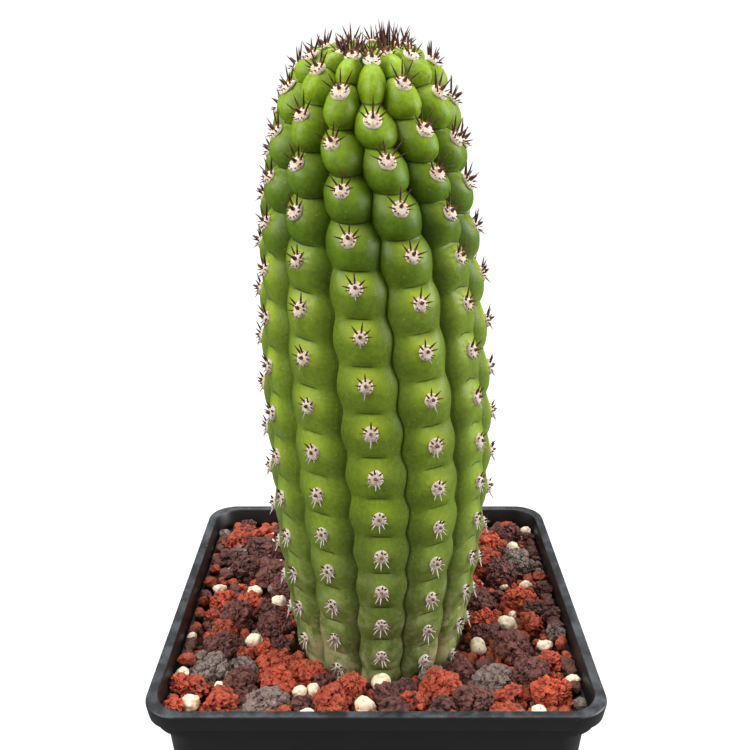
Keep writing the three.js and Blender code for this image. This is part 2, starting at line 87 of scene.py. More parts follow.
def length(name, description, millimetres):
    return bpy.props.FloatProperty(
        name=name, description=description, default=millimetres * MM, min=0, unit="LENGTH", precision=4
    )


class PotSettings(bpy.types.PropertyGroup):
    rim_width: length("Rim width", "Outer width of the rim from face to face", RIM_WIDTH)
    base_width: length("Base width", "Width of the pot at its foot", BASE_WIDTH)
    height: length("Height", "Height of the pot", POT_HEIGHT)
    wall: length("Wall", "Thickness of the moulded wall", 1.4)
    plastic: colour("Plastic", "Colour of the black polypropylene", "#0f1012")
    dust: colour("Dust", "Colour of the fine dust on the rim", "#6a6e76")


class GravelSettings(bpy.types.PropertyGroup):
    red: colour("Red lava", "Colour of the brick-red lava grains", "#b03f26")
    dark: colour("Dark lava", "Colour of the maroon-brown lava grains", "#562a25")
    grey: colour("Grey lava", "Colour of the grey lava grains", "#6c5a54")
    pumice: colour("Pumice", "Colour of the cream pumice grains", "#efdfc4")
    # The fines are drawn near-black, partly as painted shade between the grains.
    soil: colour("Fines", "Colour of the dust and fines between the grains", "#1c0e0b")
    seed: bpy.props.IntProperty(
        name="Seed", description="Chance that turns and places the grains", default=7, min=0
    )


class StemSettings(bpy.types.PropertyGroup):
    faces: bpy.props.IntProperty(
        name="Faces", description="How many faces of the skin lie across one rib", default=22,
        min=6, max=23
    )
    young: colour("Young skin", "Colour of the skin at the growing tip", "#7e9a17")
    middle: colour("Grown skin", "Colour of the skin half way up", "#6b8320")
    old: colour("Old skin", "Colour of the skin near the gravel", "#7c8a50")
    # The flush is painted light: the upward-facing brows over the areoles are drawn paler.
    flush: colour("Flush", "Pale colour of the skin just over each areole", "#a8b830")
    cork: colour("Cork", "Colour of the corky patches near the gravel", "#a89c72")


class AreoleSettings(bpy.types.PropertyGroup):
    radius: length("Areole radius", "Radius of a cushion of wool", 2.2)
    height: length("Areole height", "Height of a cushion of wool", 1.3)
    wool: colour("Wool", "Colour of the young wool", "#efdfca")
    old_wool: colour("Old wool", "Colour of the wool near the gravel", "#d6cac2")
    spine: colour("Spine", "Colour of the young spines", "#2a0f0c")
    old_spine: colour("Old spine", "Colour of the pale lower spines", "#dccdc6")
    seed: bpy.props.IntProperty(
        name="Seed", description="Chance that varies the spines", default=3, min=0
    )


class StudioSettings(bpy.types.PropertyGroup):
    floor: colour("Floor", "Colour of the floor", "#f2f2f2")
    camera_height: length("Camera height", "Height of the camera over the floor", 291.74)
    camera_distance: length("Camera distance", "From the middle of the pot to the camera", 285.3)
    focal_length: bpy.props.FloatProperty(
        name="Focal length", description="Focal length on a 36 mm sensor", default=46.435,
        min=1, unit="CAMERA"
    )


# ---- Small tools ------------------------------------------------------------------------------


def mix(a, b, t):
    return a + (b - a) * t


def between(t, low, high):
    return np.clip((t - low) / (high - low), 0, 1)


def smooth(t):
    return t * t * (3 - 2 * t)


def ease(t, low, high):
    return smooth(between(t, low, high))


def bell(t, width):
    return np.exp(-((t / width) ** 2))


def clear_selection():
    """Leaves edit mode and deselects everything, as the CAD nodes start out selected."""
    if bpy.context.mode != "OBJECT":
        bpy.ops.object.mode_set(mode="OBJECT")
    bpy.ops.object.select_all(action="DESELECT")


def take(piece):
    """Makes a piece the only one selected, and active."""
    clear_selection()
    piece.select_set(True)
    bpy.context.view_layer.objects.active = piece


@contextmanager
def editing(piece):
    """Edit mode, with the whole of a piece selected."""
    take(piece)
    bpy.ops.object.mode_set(mode="EDIT")
    bpy.ops.mesh.select_all(action="SELECT")
    yield
    bpy.ops.object.mode_set(mode="OBJECT")


def face_outward(piece):
    with editing(piece):
        bpy.ops.mesh.normals_make_consistent(inside=False)


def apply_modifier(piece, kind, **settings):
    """Adds a modifier to a piece, sets it and applies it."""
    take(piece)
    modifier = piece.modifiers.new(kind.title(), kind)
    for name, value in settings.items():
        setattr(modifier, name, value)
    bpy.ops.object.modifier_apply(modifier=modifier.name)


def finish_piece(piece, name, material, stands_for):
    """Names a piece, dresses it, hangs it from the root and hides the CAD part that it stands for."""
    piece.name = piece.data.name = name
    piece.data.materials.clear()
    piece.data.materials.append(material)
    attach(piece, "root")
    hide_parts(stands_for)


def positions(mesh):
    """The mesh's vertices as an array, in metres."""
    flat = np.empty(len(mesh.vertices) * 3)
    mesh.vertices.foreach_get("co", flat)
    return flat.reshape(-1, 3)


def set_positions(mesh, points):
    mesh.vertices.foreach_set("co", np.asarray(points, float).ravel())
    mesh.update()


def set_attribute(mesh, name, values):
    """Stores one number a vertex, for the material."""
    attribute = mesh.attributes.get(name) or mesh.attributes.new(name, "FLOAT", "POINT")
    attribute.data.foreach_set("value", np.asarray(values, float).ravel())


def copies(name, master, matrices, rounded=True, **values):
    """One piece made of copies of a master, with its attributes and some of the copies' own."""
    mesh = master.data
    points = positions(mesh)
    corners = np.empty(len(mesh.loops), int)
    mesh.loops.foreach_get("vertex_index", corners)
    sizes = np.empty(len(mesh.polygons), int)
    mesh.polygons.foreach_get("loop_total", sizes)
    turns = np.array([np.array(m) for m in matrices])
    placed = np.einsum("nij,vj->nvi", turns[:, :3, :3], points) + turns[:, None, :3, 3]
    count = len(matrices)
    offsets = np.arange(count)[:, None] * len(points)
    new = bpy.data.meshes.new(name)
    new.vertices.add(count * len(points))
    new.loops.add(count * len(corners))
    new.polygons.add(count * len(sizes))
    new.vertices.foreach_set("co", placed.ravel())
    new.loops.foreach_set("vertex_index", (corners[None] + offsets).ravel())
    all_sizes = np.tile(sizes, count)
    new.polygons.foreach_set("loop_start", np.concatenate([[0], np.cumsum(all_sizes)[:-1]]))
    new.update(calc_edges=True)
    new.validate()
    for attribute in mesh.attributes:
        if attribute.data_type == "FLOAT" and attribute.domain == "POINT":
            flat = np.empty(len(points))
            attribute.data.foreach_get("value", flat)
            set_attribute(new, attribute.name, np.tile(flat, count))
    for key, each in values.items():
        set_attribute(new, key, np.repeat(np.asarray(each, float), len(points)))
    new.polygons.foreach_set("use_smooth", np.full(len(new.polygons), rounded))
    piece = bpy.data.objects.new(name, new)
    bpy.context.collection.objects.link(piece)
    return piece


def join(pieces):
    """Joins pieces into the first one."""
    take(pieces[0])
    for piece in pieces:
        piece.select_set(True)
    if len(pieces) > 1:
        bpy.ops.object.join()
    return pieces[0]


def remove(piece):
    mesh = piece.data
    bpy.data.objects.remove(piece)
    bpy.data.meshes.remove(mesh)


# ---- Materials --------------------------------------------------------------------------------


def node(tree, kind, inputs=(), stops=(), **settings):
    """Adds a shader node with its settings, its inputs by name or in order, and its colour stops.

    An input is a value, a socket, or a node that stands for its first enabled output.
    """
    new = tree.nodes.new("ShaderNode" + kind)
    for name, value in settings.items():
        setattr(new, name, value)
    for key, value in inputs.items() if isinstance(inputs, dict) else enumerate(inputs):
        if isinstance(value, bpy.types.Node):
            value = next(s for s in value.outputs if s.enabled)
        if isinstance(value, bpy.types.NodeSocket):
            tree.links.new(value, new.inputs[key])
        else:
            new.inputs[key].default_value = value
    if stops:
        ramp = new.color_ramp
        while len(ramp.elements) < len(stops):
            ramp.elements.new(1)
        for element, (place, tint) in zip(ramp.elements, stops):
            element.position = place
            element.color = tint
    return new


def new_material(name):
    """An empty material and its tree."""
    material = bpy.data.materials.new(name)
    material.use_nodes = True
    tree = material.node_tree
    tree.nodes.clear()
    return material, tree


def finish_material(tree, inputs, relief=None, strength=0.0, distance=0.0, invert=False):
    """Ends a tree in its Principled shader, over a relief of so many metres."""
    if relief is not None:
        height = {"Height": relief, "Strength": strength, "Distance": distance}
        inputs = {**inputs, "Normal": node(tree, "Bump", height, invert=invert)}
    node(tree, "OutputMaterial", {"Surface": node(tree, "BsdfPrincipled", inputs)})


def sparse_spots(tree, place, scale, threshold, edge, core, strength=1):
    """Round spots in those cells of a pattern whose own chance passes a threshold."""
    cells = node(tree, "TexVoronoi", {"Vector": place, "Scale": scale}, feature="F1")
    chance = node(tree, "SeparateColor", [cells.outputs["Color"]]).outputs[0]
    chosen = node(tree, "Math", [chance, threshold], operation="GREATER_THAN")
    spot = node(tree, "MapRange", [cells.outputs["Distance"], edge, core, 0, strength])
    return node(tree, "Math", [spot, chosen], operation="MULTIPLY")


def blackened_polypropylene(settings):
    """Injection-moulded black polypropylene: satin, faintly orange-peeled, with a bloom of dust."""
    material, tree = new_material("moulded_black_polypropylene")
    place = node(tree, "TexCoord").outputs["Object"]
    normal = node(tree, "NewGeometry").outputs["Normal"]
    facing = node(tree, "SeparateXYZ", [normal]).outputs["Z"]
    level = node(tree, "SeparateXYZ", [place]).outputs["Z"]
    # Dust lies on what faces up, on the rim alone, in clouds a few millimetres across.
    bloom = node(tree, "MapRange", [facing, 0.2, 0.95, 0, 1], interpolation_type="SMOOTHSTEP")
    on_rim = node(tree, "MapRange", [level, 0.1165, 0.1190, 0, 1])
    cloud = node(tree, "TexNoise", {"Vector": place, "Scale": 180, "Detail": 5, "Roughness": 0.65})
    patchy = node(tree, "MapRange", [cloud, 0.42, 0.66, 0.1, 1])
    for share in (patchy, on_rim):
        bloom = node(tree, "Math", [bloom, share], operation="MULTIPLY")
    dusty = node(tree, "Math", [bloom, 0.38], operation="MULTIPLY")
    speck = sparse_spots(tree, place, 420, 0.86, 0.10, 0.04)  # specks of 0.3 mm
    body = settings.plastic
    for amount, tint in ((dusty, settings.dust), (speck, srgb("#9a9a98"))):
        body = node(tree, "Mix", {0: amount, 6: body, 7: tint}, data_type="RGBA")
    # Handling has polished it unevenly, at about 12 mm.
    wear = node(tree, "TexNoise", {"Vector": place, "Scale": 85, "Detail": 6, "Roughness": 0.7})
    gloss = node(tree, "MapRange", [wear, 0.3, 0.7, 0.34, 0.5])
    gloss = node(tree, "Math", [bloom, 0.2, gloss], operation="MULTIPLY_ADD")
    # The mould's fine spark-eroded grain, 0.4 mm, and long shallow scuffs.
    grain = node(tree, "TexNoise", {"Vector": place, "Scale": 2400, "Detail": 2})
    stretched = node(tree, "Mapping", {"Vector": place, "Scale": (40, 700, 500)})
    scuffs = node(tree, "TexNoise", {"Vector": stretched, "Scale": 1, "Detail": 3})
    relief = node(tree, "Math", [scuffs, 0.5, grain], operation="MULTIPLY_ADD")
    shader = {"Base Color": body, "Roughness": gloss, "IOR": 1.49}
    finish_material(tree, shader, relief, 0.12, 0.0001)
    return material


def vesicular_lava(name, tint, second, pale):
    """Crushed lava scoria: dull, bubbly and sharp-edged, with painted shade dark in its pits and
    painted highlight pale on its ridges.
    """
    material, tree = new_material(name)
    place = node(tree, "TexCoord").outputs["Object"]
    cavity, shade = (
        node(tree, "Attribute", attribute_name=name).outputs["Fac"]
        for name in ("cavity", "shade"))
    # The iron in it has rusted unevenly, in patches of about 4 mm.
    patches = node(tree, "TexNoise", {"Vector": place, "Scale": 240, "Detail": 4})
    patch = node(tree, "MapRange", [patches, 0.42, 0.62, 0, 1])
    body = node(tree, "Mix", {0: patch, 6: tint, 7: second}, data_type="RGBA")
    # Every grain is lighter or darker than the next, and has crumbs and crystals of 0.6 mm.
    fine = node(tree, "TexNoise", {"Vector": place, "Scale": 1300, "Detail": 4, "Roughness": 0.7})
    for span in ([shade, 0, 1, 0.6, 1.35], [fine, 0.38, 0.62, 0.35, 1.35]):
        body = node(tree, "HueSaturation", {"Color": body, "Value": node(tree, "MapRange", span)})
    # Pale flecks; paler ridges as painted highlight, and dark pits between them as painted shade.
    for span, over in (
        ([fine, 0.58, 0.74, 0, 0.55], pale),
        ([cavity, 0.6, 0.9, 0, 0.35], pale),
        ([cavity, 0.58, 0.3, 0, 0.95], srgb("#160908")),
    ):
        body = node(tree, "Mix", {0: node(tree, "MapRange", span), 6: body, 7: over}, data_type="RGBA")
    # Bubbles of 0.8 mm with thin walls, and grit finer than the geometry.
    bubbles = node(tree, "TexVoronoi", {"Vector": place, "Scale": 1100}, feature="SMOOTH_F1")
    relief = node(tree, "Math", [bubbles.outputs["Distance"], 0.9, fine], operation="MULTIPLY_ADD")
    shader = {"Base Color": body, "Roughness": 0.68, "Specular IOR Level": 0.45}
    finish_material(tree, shader, relief, 1.0, 0.0005)
    return material


def cream_pumice(settings):
    """Tumbled pumice: chalky and smooth, with a few open bubbles, ochre water stains, and painted shade
    in its hollows.
    """
    material, tree = new_material("tumbled_pumice")
    place = node(tree, "TexCoord").outputs["Object"]
    cavity, shade = (
        node(tree, "Attribute", attribute_name=name).outputs["Fac"]
        for name in ("cavity", "shade"))
    # Some grains are stained far more than others.
    stains = node(tree, "TexNoise", {"Vector": place, "Scale": 420, "Detail": 4, "Roughness": 0.6})
    reach = node(tree, "MapRange", [shade, 0, 1, 0.66, 0.5])
    stain = node(tree, "Math", [stains, reach], operation="SUBTRACT")
    stain = node(tree, "MapRange", [stain, 0, 0.10, 0, 0.75])
    hole = sparse_spots(tree, place, 780, 0.72, 0.30, 0.12)  # open bubbles of 0.4 mm
    # Painted shade: darker in the grain's hollows.
    hollow_shade = node(tree, "MapRange", [cavity, 0.44, 0.2, 0, 0.6])
    body = settings.pumice
    for amount, code in ((stain, "#cf9a55"), (hole, "#8c7350"), (hollow_shade, "#a88f63")):
        body = node(tree, "Mix", {0: amount, 6: body, 7: srgb(code)}, data_type="RGBA")
    chalk = node(tree, "TexNoise", {"Vector": place, "Scale": 1800, "Detail": 3})
    relief = node(tree, "Math", [hole, -1.5, chalk], operation="MULTIPLY_ADD")
    shader = {"Base Color": body, "Roughness": 0.8, "Specular IOR Level": 0.3}
    finish_material(tree, shader, relief, 0.45, 0.0002)
    return material


def lava_fines(settings):
    """Dust and crumbs of lava between the grains: matte, and near-black, partly as painted shade
    between the grains.
    """
    material, tree = new_material("lava_fines")
    place = node(tree, "TexCoord").outputs["Object"]
    crumbs = node(tree, "TexVoronoi", {"Vector": place, "Scale": 620}, feature="F1")
    chance = node(tree, "SeparateColor", [crumbs.outputs["Color"]]).outputs[0]
    body = node(tree, "ValToRGB", [chance], stops=[
        (0.0, settings.soil), (0.5, srgb("#3a1c17")), (0.85, srgb("#4d231b")), (1.0, srgb("#6a5a50"))])
    shader = {"Base Color": body, "Roughness": 0.95, "Specular IOR Level": 0.2}
    finish_material(tree, shader, crumbs.outputs["Distance"], 1.0, 0.0006, invert=True)
    return material


def waxy_skin(settings):
    """Cactus skin: a tough green layer under a thin satin wax, with painted light paler on the brows
    over the areoles, and painted shade in its furrows and folds.
    """
    material, tree = new_material("waxy_cactus_skin")
    place = node(tree, "TexCoord").outputs["Object"]
    youth, flush, furrow, crest, fold, folded, midline, cork = (
        node(tree, "Attribute", attribute_name=name).outputs["Fac"]
        for name in ("youth", "flush", "furrow", "crest", "fold", "folded", "midline", "cork"))
    # The darker stops at 0.80 and 0.88, just below the crown, are painted shade of its deep furrows and
    # shaded chins.
    body = node(tree, "ValToRGB", [youth], stops=[
        (0.0, settings.old), (0.16, srgb("#6d7d38")), (0.36, settings.middle), (0.68, settings.middle),
        (0.80, srgb("#506b10")), (0.88, srgb("#5c7a12")), (1.0, settings.young)])
    # Painted shade: deepest green towards the furrows and palest along the crests. Cloudy over 12 mm,
    # and finely mottled over 1 mm.
    clouds = node(tree, "TexNoise", {"Vector": place, "Scale": 85, "Detail": 3})
    mottle = node(tree, "TexNoise", {"Vector": place, "Scale": 900, "Detail": 3, "Roughness": 0.6})
    for span in (
        [crest, 0, 1, 0.74, 1.1], [clouds, 0.3, 0.7, 0.84, 1.14], [mottle, 0.3, 0.7, 0.8, 1.18],
    ):
        body = node(tree, "HueSaturation", {"Color": body, "Value": node(tree, "MapRange", span)})
    # Old skin is weathered and dusty in blots of about 4 mm.
    blots = node(tree, "TexNoise", {"Vector": place, "Scale": 240, "Detail": 6, "Roughness": 0.7})
    age = node(tree, "MapRange", [youth, 0.3, 0.02, 0, 1])
    pale, deep = (
        node(tree, "Math", [node(tree, "MapRange", span), age], operation="MULTIPLY")
        for span in ([blots, 0.5, 0.64, 0, 0.7], [blots, 0.5, 0.38, 0, 0.8]))
    pore = sparse_spots(tree, place, 640, 0.68, 0.16, 0.06, 0.3)  # pores and dust of 0.25 mm
    # Painted shade: dark lines in the folds between ribs, fainter on old skin, and under each swelling.
    depth = node(tree, "MapRange", [youth, 0.35, 0.75, 0.5, 1])
    off_fold = node(tree, "Math", [fold], operation="ABSOLUTE")
    furrow_shade, fold_shade = (
        node(tree, "Math", [node(tree, "MapRange", span, interpolation_type="SMOOTHSTEP"), share],
             operation="MULTIPLY")
        for span, share in (
            ([furrow, 0.45, 0.02, 0, 0.9], depth), ([off_fold, 0.34, 0.04, 0, 0.8], folded)))
    # Cork forms scabs of 1 to 4 mm with thin edges.
    scab = node(tree, "TexNoise", {"Vector": place, "Scale": 330, "Detail": 6, "Roughness": 0.7})
    spread = node(tree, "Math", [scab, cork], operation="ADD")
    spread = node(tree, "MapRange", [spread, 0.96, 1.08, 0, 0.72])
    # line is the colour of the painted shade in the folds.
    line = srgb("#1f2c06")
    # The first mix is painted light: paler brows over the areoles, where they face up to the lamps.
    for amount, tint in (
        (flush, settings.flush), (midline, srgb("#3d5410")), (pale, srgb("#a3a878")),
        (deep, srgb("#4d6420")), (pore, srgb("#c9d3a4")), (furrow_shade, line),
        (fold_shade, line), (spread, settings.cork),
    ):
        body = node(tree, "Mix", {0: amount, 6: body, 7: tint}, data_type="RGBA")
    gloss = node(tree, "MapRange", [mottle, 0.3, 0.7, 0.40, 0.52])
    gloss = node(tree, "Math", [spread, 0.3, gloss], operation="MULTIPLY_ADD")
    # Skin cells swell into a fine pebble of 0.5 mm; cork stands a little proud.
    pebble = node(tree, "TexVoronoi", {"Vector": place, "Scale": 1900}, feature="SMOOTH_F1")
    relief = node(tree, "Math", [pebble.outputs["Distance"], -0.25, mottle], operation="MULTIPLY_ADD")
    relief = node(tree, "Math", [spread, 1.2, relief], operation="MULTIPLY_ADD")
    shader = {
        "Base Color": body, "Roughness": gloss, "IOR": 1.45, "Specular IOR Level": 0.28,
        "Subsurface Weight": 0.12, "Subsurface Radius": (0.6, 1.0, 0.2), "Subsurface Scale": 0.0015,
    }
    finish_material(tree, shader, relief, 0.3, 0.0002)
    return material


def areole_felt(settings):
    """Areole wool: short matted plant hair, cream when young and greyed by age, rusty at the spines."""
    material, tree = new_material("areole_felt")
    place = node(tree, "TexCoord").outputs["Object"]
    youth, heart = (
        node(tree, "Attribute", attribute_name=name).outputs["Fac"]
        for name in ("youth", "heart"))
    rust = node(tree, "TexNoise", {"Vector": place, "Scale": 700, "Detail": 3})
    rusty = node(tree, "MapRange", [rust, 0.46, 0.64, 0, 0.6])
    rusty = node(tree, "Math", [rusty, heart], operation="MULTIPLY")
    # Hair of 0.15 mm is drawn as 0.3 mm tufts, the finest that shows.
    tufts = node(tree, "TexNoise", {"Vector": place, "Scale": 3200, "Detail": 3, "Roughness": 0.7})
    shadow = node(tree, "MapRange", [tufts, 0.30, 0.5, 0.45, 0])
    body = settings.old_wool
    for amount, tint in ((youth, settings.wool), (rusty, srgb("#c98247")), (shadow, srgb("#8f7460"))):
        body = node(tree, "Mix", {0: amount, 6: body, 7: tint}, data_type="RGBA")
    shader = {
        "Base Color": body, "Roughness": 0.95, "Specular IOR Level": 0.15, "Sheen Weight": 0.25,
        "Sheen Roughness": 0.5,
    }
    finish_material(tree, shader, tufts, 0.9, 0.0003)
    return material


def spine_horn(settings):
    """Cactus spines: hard dry horn, near-black maroon when young and bleached when old."""
    material, tree = new_material("dry_spine_horn")
    dark, along = (
        node(tree, "Attribute", attribute_name=name).outputs["Fac"]
        for name in ("dark", "along"))
    young = node(tree, "ValToRGB", [along], stops=[
        (0.0, srgb("#b8743e")), (0.2, srgb("#5e2614")), (0.45, settings.spine), (1.0, srgb("#642a1a"))])
    old = node(tree, "ValToRGB", [along], stops=[
        (0.0, srgb("#6f4236")), (0.25, settings.old_spine), (0.8, settings.old_spine),
        (1.0, srgb("#7b5448"))])
    body = node(tree, "Mix", {0: dark, 6: old, 7: young}, data_type="RGBA")
    shader = {"Base Color": body, "Roughness": 0.5, "IOR": 1.54, "Specular IOR Level": 0.3}
    finish_material(tree, shader)
    return material


# ---- Pot --------------------------------------------------------------------------------------

WALL_TOP = (RIM_WIDTH - 10, POT_HEIGHT - 9.8)  # width and level where the tapering wall ends
SHELF_LEVEL = POT_HEIGHT - 8.4  # of the ledge inside the collar
WALL_BENDS = (55, 104)  # levels of the rings between the wall's ends
FLOOR = 2  # thickness of the pot's floor
DRAIN_RADIUS, DRAIN_PLACE = 4.5, 30
CORNER_STEPS = 12


def wall_width_at(level):
    return mix(BASE_WIDTH, WALL_TOP[0], level / WALL_TOP[1])


def corner_radius_at(width):
    return 10 - 0.16 * (RIM_WIDTH - width)


def rounded_square(width, level):
    """Points of a square with round corners, in metres, in order round +Z."""
    radius = max(1.0, corner_radius_at(width))
    inner = width / 2 - radius
    points = []
    for corner, (sx, sy) in enumerate([(1, 1), (-1, 1), (-1, -1), (1, -1)]):
        for i in range(CORNER_STEPS + 1):
            angle = (corner + i / CORNER_STEPS) * TURN / 4
            x, y = sx * inner + radius * math.cos(angle), sy * inner + radius * math.sin(angle)
            points.append((x, y, level))
    return np.array(points) * MM


def draw_up(rings):
    """A closed body drawn up through [width, level] rings by extruding its last face."""
    clear_selection()
    count = 4 * (CORNER_STEPS + 1)
    bpy.ops.mesh.primitive_circle_add(vertices=count, radius=rings[0][0] * MM / 2, fill_type="NGON")
    piece = bpy.context.object
    with editing(piece):
        for _ in rings[1:]:
            bpy.ops.mesh.extrude_region_move(TRANSFORM_OT_translate={"value": (0, 0, MM)})
    # Each extrusion adds one ring, and each ring is laid on its outline.
    points = positions(piece.data)
    order = np.argsort(np.round(points[:, 2] / MM), kind="stable").reshape(len(rings), count)
    for ring, (width, level) in zip(order, rings):
        start = points[ring]
        turn = np.argsort(np.arctan2(start[:, 1], start[:, 0]) % TURN)
        outline = rounded_square(width, level)
        around = np.argsort(np.arctan2(outline[:, 1], outline[:, 0]) % TURN)
        points[ring[turn]] = outline[around]
    set_positions(piece.data, points)
    face_outward(piece)
    return piece


class CACTUS_OT_pot(bpy.types.Operator):
    """Draws the square pot up from its foot, over its rim and down inside, and drills its floor"""

    bl_idname = "cactus.pot"
    bl_label = "Pot"

    def execute(self, context):
        settings = context.scene.cactus_pot
        height = settings.height / MM
        rim = settings.rim_width / MM
        wall = 2 * settings.wall / MM
        collar = rim - 4.8
        foot = height - 5
        shell = draw_up([
            (settings.base_width / MM - 2.4, 0),
            (wall_width_at(0.4) - 0.6, 0.4),
            (wall_width_at(1.2), 1.2),
            *[(wall_width_at(level), level) for level in WALL_BENDS],
            WALL_TOP,
            (collar - 0.4, height - 8.2),
            (collar, foot),
            (rim - 1.9, foot),
            (rim - 1.3, foot + 0.25),
            (rim - 1.1, foot + 0.8),
            (rim - 0.15, height - 0.9),
            (rim - 0.25, height - 0.35),
            (rim - 0.7, height - 0.05),
            (rim - 1.4, height),
            (rim - 5.4, height),
            (rim - 6.0, height - 0.15),
            (rim - 6.6, height - 0.7),
            (collar - wall, SHELF_LEVEL + 0.8),
            (wall_width_at(SHELF_LEVEL) - wall, SHELF_LEVEL),
            *[(wall_width_at(level) - wall, level) for level in (*WALL_BENDS[::-1], FLOOR)],
        ])
        # Four plain drain holes in the floor.
        for x in (-DRAIN_PLACE, DRAIN_PLACE):
            for y in (-DRAIN_PLACE, DRAIN_PLACE):
                clear_selection()
                bpy.ops.mesh.primitive_cylinder_add(
                    vertices=32, radius=DRAIN_RADIUS * MM, depth=8 * MM,
                    location=(x * MM, y * MM, FLOOR / 2 * MM))
                drill = context.object
                apply_modifier(shell, "BOOLEAN", object=drill, operation="DIFFERENCE", solver="EXACT")
                remove(drill)
        take(shell)
        bpy.ops.object.shade_smooth_by_angle(angle=math.radians(32))
        finish_piece(shell, "pot_shell", blackened_polypropylene(settings), "pot")
        return {"FINISHED"}


# ---- Gravel -----------------------------------------------------------------------------------

# Grains that the plant is known by, as (x, y, radius) in mm.
PLACED = {
    "red": [
        (-31, -24, 7), (-50, 52, 4.5), (-53, 45, 4.5), (-53, 6, 4.5), (-55, -3, 3), (-54, -41, 3.5),
        (-45, -49, 4.5), (-30, -36, 5), (-13, -48, 6), (20, -39, 5.5), (52, -45, 5.5), (50, 8, 5.5),
        (36, 0, 5), (52, -7, 4.5), (40, -44, 4), (54, -29, 4), (11, -48, 4),
    ],
    "dark": [
        (-47, -2, 5.5), (-50, -19, 6), (-54, 33, 4), (-41, -37, 5.5), (44, -18, 6), (47, -34, 5),
        (45, 24, 5.5), (54, 1, 3.5), (27, -26, 5.5), (28, -48, 5), (3, -42, 3.5), (-21, -49, 3.5),
    ],
    "grey": [(-52, -31, 6), (-32, -46, 6), (36, -32, 6), (52, 31, 6), (-51, 37, 3.5)],
    "pumice": [
        (-43, 16, 2.5), (-34, 12, 3), (-55, 14, 2.5), (-40, -13, 3), (-54, -49, 3.5), (-23, -39, 2.5),
        (-19, -38, 2.5), (-3, -49, 3.5), (33, -15, 3.5), (29, -40, 2.5), (52, 42, 2.5), (53, 17, 2.5),
        (44, -4, 4), (54, -19, 2.5), (47, -51, 2.5),
    ],
}
STREWN = [(6.2, 200), (5, 400), (4, 600), (3, 300)]  # (radius, tries) of the others
GRAIN_SEED = 20  # the seed that the solids' grains are strewn with
BANK = 5.5  # how far the bed rises to the walls
LEDGE_REACH = 60.9  # from the middle to the collar's inner face
CHIPS, LEDGE_CHIPS, CRUMBS = 900, 420, 1500  # tries of the first two, and number of crumbs


def bed_level_at(x, y):
    """The bed is banked up to the walls, and rises towards the back."""
    outward = between(np.maximum(np.abs(x), np.abs(y)), 28, 58)
    return BED_LEVEL + BANK * outward + 2.5 * between(y, 5, 50)


def off_stem(x, y, radius):
    """Whether a grain there keeps clear of the stem."""
    return math.hypot(x - HOLE_X, y - STEM_Y) - radius > stem_radius_at(BED_LEVEL)


def dice(seed):
    """The part's own sequence of numbers from 0 to 1, so that the grains lie where its solids do."""
    state = seed
    while True:
        state = (state * 1664525 + 1013904223) % 2**32
        yield state / 2**32


def lay_stones(settings):
    """Where the grains lie: (x, y, radius, level, kind), in millimetres."""
    numbers = dice(GRAIN_SEED)
    kinds = random.Random(settings.seed)
    chips = random.Random(settings.seed + 5)
    stones = []

    def lay(x, y, radius, kind):
        rise = mix(4.5, 8, next(numbers)) - 0.85 * radius
        level = float(bed_level_at(x, y)) + min(rise, 0.58 * radius)
        stones.append((x, y, radius, min(level, POT_HEIGHT - 2 - 0.85 * radius), kind))

    def has_room(x, y, radius, share):
        """Whether every grain is further off than a share of the two radii."""
        return all(math.hypot(x - s[0], y - s[1]) > share * (s[2] + radius) for s in stones)

    def chip_kind(dark):
        return chips.choices(("red", "dark", "grey", "pumice"), weights=(5, dark, 1, 1))[0]

    for kind, places in PLACED.items():
        for place in places:
            lay(*place, kind)
    for size, tries in STREWN:
        for _ in range(tries):
            radius = size * mix(0.86, 1.14, next(numbers))
            reach = wall_width_at(BED_LEVEL) / 2 - 1.4 - radius
            x = mix(-reach, reach, next(numbers))
            y = mix(-reach, reach, next(numbers))
            if has_room(x, y, radius, 0.84) and off_stem(x, y, radius):
                chance = kinds.random()
                # The pale and grey grains are mostly small ones.
                pale, grey = (0.02, 0.0) if radius > 4.6 else (0.16, 0.06)
                kind = "pumice" if chance < pale else "grey" if chance < pale + grey else (
                    "dark" if chance < pale + grey + 0.4 else "red")
                lay(x, y, radius, kind)
    # Chips of 2 mm fill in between them.
    half = wall_width_at(BED_LEVEL + 5) / 2 - 4
    for _ in range(CHIPS):
        x, y, radius = chips.uniform(-half, half), chips.uniform(-half, half), chips.uniform(1.6, 2.6)
        if has_room(x, y, radius, 0.72) and off_stem(x, y, radius):
            kind = chip_kind(4)
            stones.append((x, y, radius, float(bed_level_at(x, y)) + chips.uniform(0.3, 1.6), kind))
    # More of them have come to rest on the ledge inside the collar.
    for _ in range(LEDGE_CHIPS):
        radius, side = chips.uniform(1.5, 2.9), chips.randrange(4)
        out, along = LEDGE_REACH - radius, chips.uniform(-54, 54)
        x, y = [(out, along), (along, out), (-out, along), (along, -out)][side]
        if has_room(x, y, radius, 0.66):
            kind = chip_kind(5)
            stones.append((x, y, radius, SHELF_LEVEL + 0.85 * radius + chips.uniform(0, 0.7), kind))
    return stones


